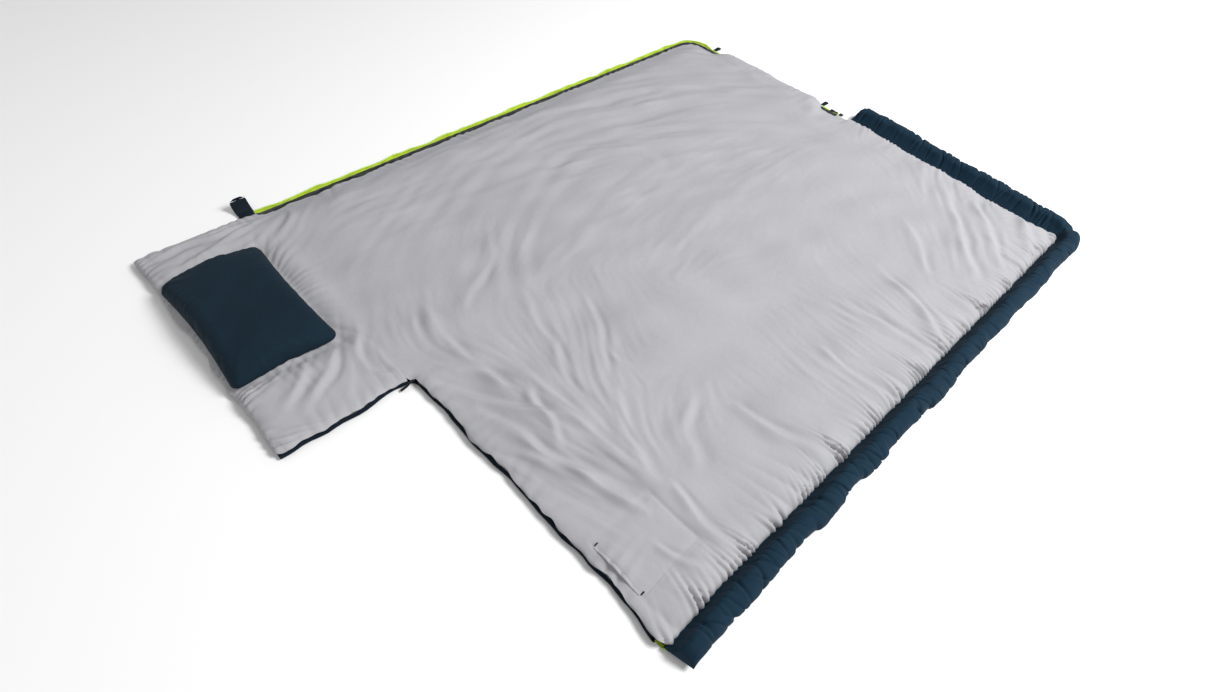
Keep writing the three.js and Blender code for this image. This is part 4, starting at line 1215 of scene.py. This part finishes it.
def make_pillow():
    """The pillow: a flat cover filled as cloth under pressure, then set on the lining."""
    reseed("pillow")
    low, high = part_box("pillow_cover_top")
    piece = flat_pillow(low, high)
    points = under_pressure(piece, pressure=3.0, frames=10)
    rise = fitted(points, low, high)
    x, y = points[:, 0], points[:, 1]
    side, end = np.minimum(x - low.x, high.x - x), np.minimum(y - low.y, high.y - y)
    from_seam = np.maximum(np.minimum(side, end), 0)
    gathers = puckers(np.where(side < end, y, x), from_seam, *GATHERS["pillow"])
    gathers = gathers + 0.0012 * ripple(x, y, 0.09)
    points[:, 2] += np.where(rise > 0, gathers * smooth(rise / 0.3), 0)
    resting = quilt_top(x, y) + 0.0012
    points[:, 2] += 0.8 * np.minimum(resting - TOP_Z, 0) * (1 - smooth(from_seam / 0.05))
    points[:, 2] = np.maximum(points[:, 2], resting)
    set_points(piece, points)
    centre = points.mean(0)
    inner = centre + (points - centre) * (0.975, 0.95, 1)
    inner[:, 2] = np.clip(inner[:, 2] - 0.003, resting + 0.0008, None)
    fibre = copy_of(piece, "pillow_fibre", inner, LOOKS["wadding"])
    dress(piece, "pillow", "hood", "pillow_cover_top", "pillow_cover_base")
    dress(fibre, "wadding", "hood", "pillow_filling")


# ---- the zip ----

def tape_waves(s, shape):
    """How far a zip tape's outer edge sways out and lifts along its run."""
    reseed(shape)
    return 0.0028 * wander(s, 0.21) + 0.0012 * wander(s, 0.07), 0.0012 * (1 + wander(s, 0.13))


def standing(run):
    """1 where the lower tape stands up from the floor, 0 on the foot where the slider runs."""
    corner_end = run["s"][np.argmax(run["corner"] >= 1)]
    return (1 - smooth((run["s"] - corner_end) / 0.08))[:, None]


def make_tape(name, run, body, node, sway, lift, outer, base):
    """A zip tape sewn along a seam. sway and lift move its outer edge."""
    across = np.array([TAPE_INNER, 0.0, 0.006, 0.013, outer])
    across = np.concatenate([across, across[::-1]])[None, :]
    level = np.repeat([1, 0], 5)[None, :]
    share = np.clip(across / outer, 0, 1)
    heights = base + TAPE_THICK * level + lift * share
    tape = swept(name, run, across + sway * share, heights, LOOKS["zip_tape"], crisp=50)
    dress(tape, "zip_tape", body, node)


def coil_turn(place, outward, pitch, width):
    """Ten points of one turn of the coil, a rounded arch at each end of it, and how high they are."""
    tangent = np.array([-outward[1], outward[0]])
    ring = [(-0.5, 0.0), (-0.42, 0.75), (0.0, 1.0), (0.42, 0.75), (0.5, 0.0)]
    points = []
    for along in (-0.42, 0.42):
        for across, up in ring:
            spot = place + outward * width * (across + 0.5)
            spot = spot + tangent * along * pitch * (0.72 if up > 0.9 else 1)
            points.append((spot[0], spot[1], up))
    return points


def make_coil(name, run, body, node, sway, lift, base, edge, width, pitch):
    """The coil: a row of rounded turns across the edge of the tape."""
    vertices, faces = [], []
    places = (np.arange(int(run["total"] / pitch)) + 0.5) * pitch
    columns = (*run["points"].T, *run["outward"].T, sway[:, 0], lift[:, 0])
    for px, py, nx, ny, out, up in zip(*(np.interp(places, run["s"], values) for values in columns)):
        outward = np.array([nx, ny])
        place = np.array([px, py]) + outward * (edge - width + out)
        start = len(vertices)
        for x, y, height in coil_turn(place, outward, pitch, width):
            vertices.append((x, y, base + up + COIL_HIGH * height))
        faces += [tuple(start + k for k in face) for face in capped_rings(2, 5)]
    coil = fix_normals(new_object(name, vertices, faces, LOOKS["zip_coil"]))
    dress(coil, "zip_coil", body, node)


def make_zip():
    """Both sides of the zip. The upper side lies flat under the tube."""
    run = LOWER_RUN
    sway, lift = tape_waves(run["s"][:, None], "lower tape")
    lift = (lift + TAPE_RISE) * standing(run)
    make_tape("zip_lower_tape", run, "lower_half", "zip_tape_bottom", sway, lift, outer=0.0145, base=0.0030)
    make_coil("zip_lower_coil", run, "lower_half", "zip_coil_bottom", sway, lift,
              base=0.0034, edge=0.0149, width=0.0055, pitch=0.0028)
    run = tube_side_run(FOLD_X + 0.062, FOOT_Y - 0.006)
    sway, _ = tape_waves(run["s"][:, None], "upper tape")
    flat = np.zeros_like(sway)
    make_tape("zip_upper_tape", run, "upper_half", "zip_tape_top", 0.3 * sway, flat, outer=0.020, base=0.0014)
    make_coil("zip_upper_coil", run, "upper_half", "zip_coil_top", flat, flat,
              base=0.0026, edge=0.0205, width=0.0060, pitch=0.004)


def make_band():
    """The dark strip that keeps the slider off the lining, sewn just inside the zip."""
    run = LOWER_RUN
    s = run["s"][:, None]
    reseed("band")
    inner_edge = -0.0165 + 0.0030 * wander(s, 0.17) + 0.0012 * wander(s, 0.05)
    across = np.linspace(0, 1, 7)[None, :]
    offsets = 0.0025 * (1 - across) + inner_edge * across
    x, y = beside_run(run, offsets)
    over = np.maximum(quilt_top(x, y), SEAM_Z) + 0.0012
    at_foot = smooth((y - FOOT_Y + 0.06) / 0.02) * foot_puff(x)
    over = over + (SEAM_Z + 0.001 - over) * at_foot
    curl = 0.0012 * np.sin(math.pi * across) * (1 + wander(s, 0.09))
    top = over + curl
    offsets = np.concatenate([offsets, offsets[:, ::-1]], 1)
    heights = np.concatenate([top, top[:, ::-1] - BAND_THICK], 1)
    piece = swept("anti_snag_band", run, offsets, heights, LOOKS["band"], crisp=70)
    dress(piece, "band", "lower_half", "anti_snag_tape")


# ---- small pieces ----

def ribbon(name, path, width, thickness, material, broad=None, cross=5):
    """A flat strap along a path of points, closed, its width level or along the broad direction."""
    path = np.array(path, float)
    tangent = np.gradient(path, axis=0)
    tangent /= np.linalg.norm(tangent, axis=1)[:, None]
    broad = np.cross(tangent, (0, 0, 1)) if broad is None else np.tile(broad, (len(path), 1)).astype(float)
    broad /= np.linalg.norm(broad, axis=1)[:, None]
    up = np.cross(broad, tangent)
    width = np.broadcast_to(np.asarray(width, float), len(path))[:, None]
    rings = []
    for side in (1, -1):
        for k in side * np.linspace(-0.5, 0.5, cross):
            rings.append(path + broad * width * k + side * up * thickness * (0.5 - 0.3 * abs(2 * k) ** 6))
    points = np.stack(rings, 1)
    faces = capped_rings(*points.shape[:2])
    return sharpen(fix_normals(new_object(name, points.reshape(-1, 3), faces, material)), 60)


def smooth_path(points, count=24):
    """A smooth curve through a few points."""
    points = np.array(points, float)
    gaps = np.linalg.norm(np.diff(points, axis=0), axis=1)
    knots = np.concatenate([[0], np.cumsum(gaps)])
    slopes = np.gradient(points, knots, axis=0)
    wanted = np.linspace(0, knots[-1], count)
    result = []
    for w in wanted:
        i = min(int(np.searchsorted(knots, w, side="right")) - 1, len(gaps) - 1)
        h = gaps[i]
        u = (w - knots[i]) / h
        result.append(
            points[i] * (1 + 2 * u) * (1 - u) ** 2
            + slopes[i] * h * u * (1 - u) ** 2
            + points[i + 1] * u * u * (3 - 2 * u)
            + slopes[i + 1] * h * u * u * (u - 1)
        )
    return np.array(result)


def stitches(name, lines, material, length=0.0035, gap=0.0016, radius=0.00035):
    """Rows of short threads along lines of points, each thread a small six-sided spindle."""
    vertices, faces = [], []
    for line in lines:
        line = np.array(line, float)
        gaps = np.linalg.norm(np.diff(line, axis=0), axis=1)
        knots = np.concatenate([[0], np.cumsum(gaps)])
        starts = np.arange(0, knots[-1] - length, length + gap)
        for at in starts:
            a, b = (np.array([np.interp(v, knots, column) for column in line.T]) for v in (at, at + length))
            tangent = (b - a) / np.linalg.norm(b - a)
            broad = np.cross(tangent, (0, 0, 1))
            broad /= np.linalg.norm(broad)
            up = np.cross(broad, tangent)
            base = len(vertices)
            for share, size in ((0, 0.45), (0.2, 1.0), (0.8, 1.0), (1, 0.45)):
                sunk = np.array([0, 0, 0.9 * radius if share in (0, 1) else 0])
                for turn in np.arange(6) * math.pi / 3:
                    round_it = broad * math.cos(turn) + up * math.sin(turn)
                    vertices.append(a + (b - a) * share + radius * size * round_it - sunk)
            faces += [tuple(base + k for k in face) for face in capped_rings(4, 6)]
    return fix_normals(new_object(name, vertices, faces, material))


def tab_path(y):
    """The closure tab's curl, up and back from its hinge."""
    x = JOINTS["tab_curl"]["pos_m"][0]
    curl = [(0, 0.0052), (0.012, 0.0060), (0.025, 0.0110), (0.036, 0.0215), (0.041, 0.0340), (0.038, 0.0425)]
    return smooth_path([(x - out, y, z) for out, z in curl])


def make_tab():
    """The closure tab with a rounded end, the hook patch on its inside and its stitched rim."""
    low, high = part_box("closure_tab")
    width = high.y - low.y
    path = tab_path((low.y + high.y) / 2)
    share = np.linspace(0, 1, len(path))
    rounded_end = np.sqrt(1 - 0.75 * smooth((share - 0.72) / 0.28) ** 2)
    tab_width = width * (0.94 + 0.06 * np.sin(math.pi * share)) * rounded_end
    tab = ribbon("closure_tab_strap", path, tab_width, TAB_THICK, LOOKS["webbing"], cross=9)
    dress(tab, "webbing", "tab", "closure_tab")
    tangent = np.gradient(path, axis=0)
    normal = np.stack([-tangent[:, 2], np.zeros(len(path)), tangent[:, 0]], 1)
    normal /= np.linalg.norm(normal, axis=1)[:, None]
    inner = path[5:-5] - normal[5:-5] * 0.0018
    patch = ribbon("closure_hook_pad", inner, width * 0.82, PATCH_THICK, LOOKS["hook"])
    dress(patch, "hook", "tab", "closure_hook_patch")
    rim = [path[2:-1] + (0, side * width, 0) + normal[2:-1] * 0.0011 for side in (-0.46, 0.46)]
    dress(stitches("closure_tab_stitches", rim, LOOKS["dark_thread"]), "webbing", "tab")


def make_tab_base():
    """The strip that the closure tab is sewn to the bag with."""
    low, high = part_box("closure_tab_base")
    y = (low.y + high.y) / 2
    path = smooth_path([(low.x, y, 0.0042), ((low.x + high.x) / 2, y, 0.0048), (high.x, y, 0.0050)], 8)
    strap = ribbon("closure_tab_root", path, high.y - low.y, TAB_ROOT_THICK, LOOKS["webbing"])
    dress(strap, "webbing", "lower_half", "closure_tab_base")


def make_loop(name, node, root):
    """A loop of webbing folded back on itself, that stands out from the foot seam."""
    low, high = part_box(node)
    x = (low.x + high.x) / 2
    start, end = low.y - root, high.y + 0.004
    path = smooth_path([
        (x, start, 0.0016), (x + 0.001, start + 0.012, 0.0020), (x + 0.003, end - 0.006, 0.0032),
        (x + 0.004, end - 0.001, 0.0046), (x + 0.004, end, 0.0064), (x + 0.003, end - 0.004, 0.0082),
        (x + 0.001, start + 0.020, 0.0050), (x, start, 0.0028),
    ], 60)
    loop = ribbon(name, path, LOOP_WIDE, LOOP_THICK, LOOKS["webbing"], broad=(1, 0, 0))
    dress(loop, "webbing", "lower_half", node)


def make_strap():
    """The short strap end at the notch beside the hood."""
    low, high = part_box("corner_strap")
    x = (low.x + high.x) / 2
    path = smooth_path([
        (x - 0.004, high.y + 0.004, 0.013), (x - 0.002, high.y - 0.010, 0.0145),
        (x + 0.001, high.y - 0.026, 0.0110), (x - 0.002, low.y + 0.002, 0.0040),
    ], 20)
    strap = ribbon("corner_strap_end", path, 0.6 * (high.x - low.x), 0.0016, LOOKS["band"])
    dress(strap, "band", "lower_half", "corner_strap")


def on_quilt(x, y, above):
    """Points a little above the lining."""
    x, y = np.broadcast_arrays(x, y)
    return np.stack([x, y, quilt_top(x, y) + above], 1)


def make_pocket():
    """The pocket's edged mouth, with a bar tack at each end."""
    low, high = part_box("pocket_edging")
    path = on_quilt(np.linspace(low.x, high.x, 40), (low.y + high.y) / 2, 0.0006)
    edging = ribbon("pocket_mouth_edging", path, 0.007, 0.0014, LOOKS["lining"])
    dress(edging, "lining", "upper_half", "pocket_edging")
    for side in ("inner", "outer"):
        low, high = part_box(f"pocket_bar_tack_{side}")
        row = on_quilt((low.x + high.x) / 2, np.linspace(low.y - 0.001, high.y + 0.001, 14), 0.0014)
        rows = [row + (k * 0.0007, 0, 0) for k in (-1.5, -0.5, 0.5, 1.5)]
        tack = stitches(f"pocket_tack_{side}", rows, LOOKS["dark_thread"], 0.0022, 0.0002, 0.0005)
        dress(tack, "lining", "upper_half", f"pocket_bar_tack_{side}")


def make_pocket_outline():
    """The stitches that hold the pocket's bag to the lining, from the mouth round its other sides."""
    mouth_low, mouth_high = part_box("pocket_edging")
    y = (mouth_low.y + mouth_high.y) / 2
    low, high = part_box("pocket_bag")
    corners = [(low.x, y), (low.x, high.y), (high.x, high.y), (high.x, y)]
    t = np.linspace(0, 1, 60)
    lines = []
    for (ax, ay), (bx, by) in zip(corners[:-1], corners[1:]):
        lines.append(on_quilt(ax + (bx - ax) * t, ay + (by - ay) * t, 0.0002))
    dress(stitches("pocket_outline_stitches", lines, LOOKS["thread"]), "lining", "upper_half")


def fill_box(name, node, slot_name, body, count, thickness, wave=0.0):
    """A flat strap along +X, as long and wide as a CAD node's box."""
    low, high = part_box(node)
    x = np.linspace(low.x, high.x, count)
    y = np.full_like(x, (low.y + high.y) / 2)
    z = (low.z + high.z) / 2 + wave * np.sin(x * 420)
    strap = ribbon(name, np.stack([x, y, z], 1), high.y - low.y, thickness, LOOKS[slot_name])
    dress(strap, slot_name, body, node)


def finish_fittings():
    """Gives the moulded fittings of the CAD their material."""
    for node in ("zip_box", "zip_pin", "zip_stop_bottom", "zip_stop_top", "zip_slider", "zip_pull"):
        mesh = NODES[node].data
        mesh.materials.clear()
        mesh.materials.append(LOOKS["fitting"])


# ---- camera, light and floor ----

def place_camera():
    """The viewing angle: over the tube side at the head end, looking down across the bag."""
    camera = bpy.data.objects.new("camera", bpy.data.cameras.new("camera"))
    bpy.context.scene.collection.objects.link(camera)
    yaw, pitch, roll = (math.radians(v) for v in CAMERA_TURNS)
    ahead = math.cos(pitch)
    forward = Vector((-math.sin(yaw) * ahead, math.cos(yaw) * ahead, -math.sin(pitch)))
    level = Vector((math.cos(yaw), math.sin(yaw), 0))
    lift = level.cross(forward)
    right = level * math.cos(roll) + lift * math.sin(roll)
    up = lift * math.cos(roll) - level * math.sin(roll)
    axes = Matrix((right, up, -forward)).transposed().to_4x4()
    camera.matrix_world = Matrix.Translation(CAMERA_PLACE) @ axes
    camera.data.sensor_width = SENSOR
    camera.data.lens = LENS
    camera.data.clip_start = 0.05
    bpy.context.scene.camera = camera


def area_light(name, place, target, size, power):
    """A square light aimed at a target."""
    lamp = bpy.data.lights.new(name, "AREA")
    lamp.shape = "SQUARE"
    lamp.size = size
    lamp.energy = power
    light = bpy.data.objects.new(name, lamp)
    light.location = place
    light.rotation_euler = (Vector(target) - Vector(place)).to_track_quat("-Z", "Y").to_euler()
    bpy.context.scene.collection.objects.link(light)


def make_studio():
    """A white floor under a soft sky, with one key light and a faint fill light."""
    mesh = bpy.data.meshes.new("floor")
    corners = [(x * FLOOR_HALF, y * FLOOR_HALF, 0) for x, y in ((-1, -1), (1, -1), (1, 1), (-1, 1))]
    mesh.from_pydata(corners, [], [(0, 1, 2, 3)])
    floor = bpy.data.objects.new("floor", mesh)
    bpy.context.scene.collection.objects.link(floor)
    material, tree, shader = nodes_of("floor")
    shader.inputs["Base Color"].default_value = (0.93, 0.93, 0.93, 1)
    shader.inputs["Roughness"].default_value = 0.9
    mesh.materials.append(material)
    floor.location.z = FLOOR_Z
    area_light("key", (3.2, 2.4, 4.2), (0.0, 0.2, 0), 2.0, 400)
    area_light("fill", (-1.5, -3.0, 2.6), (0, -0.3, 0), 3.0, 10)
    bpy.context.scene.view_settings.view_transform = "Standard"
    world = bpy.data.worlds.new("world")
    world.use_nodes = True
    background = world.node_tree.nodes["Background"]
    background.inputs[0].default_value = (1, 1, 1, 1)
    background.inputs[1].default_value = DAYLIGHT
    bpy.context.scene.world = world


place_camera()
make_studio()
make_wadding()
make_quilt()
make_tubes()
make_zip()
make_band()
make_pillow()
make_tab()
make_tab_base()
make_loop("hang_loop_corner_webbing", "hang_loop_corner", 0.020)
make_loop("hang_loop_middle_webbing", "hang_loop_middle", 0.016)
make_strap()
make_pocket()
make_pocket_outline()
patch_low, patch_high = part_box("closure_loop_patch")
fill_box("closure_loop_pad", "closure_loop_patch", "hook", "upper_half", 20, patch_high.z - patch_low.z)
fill_box("hood_elastic_band", "hood_elastic", "elastic", "hood", 160, 0.001, wave=0.0004)
finish_fittings()
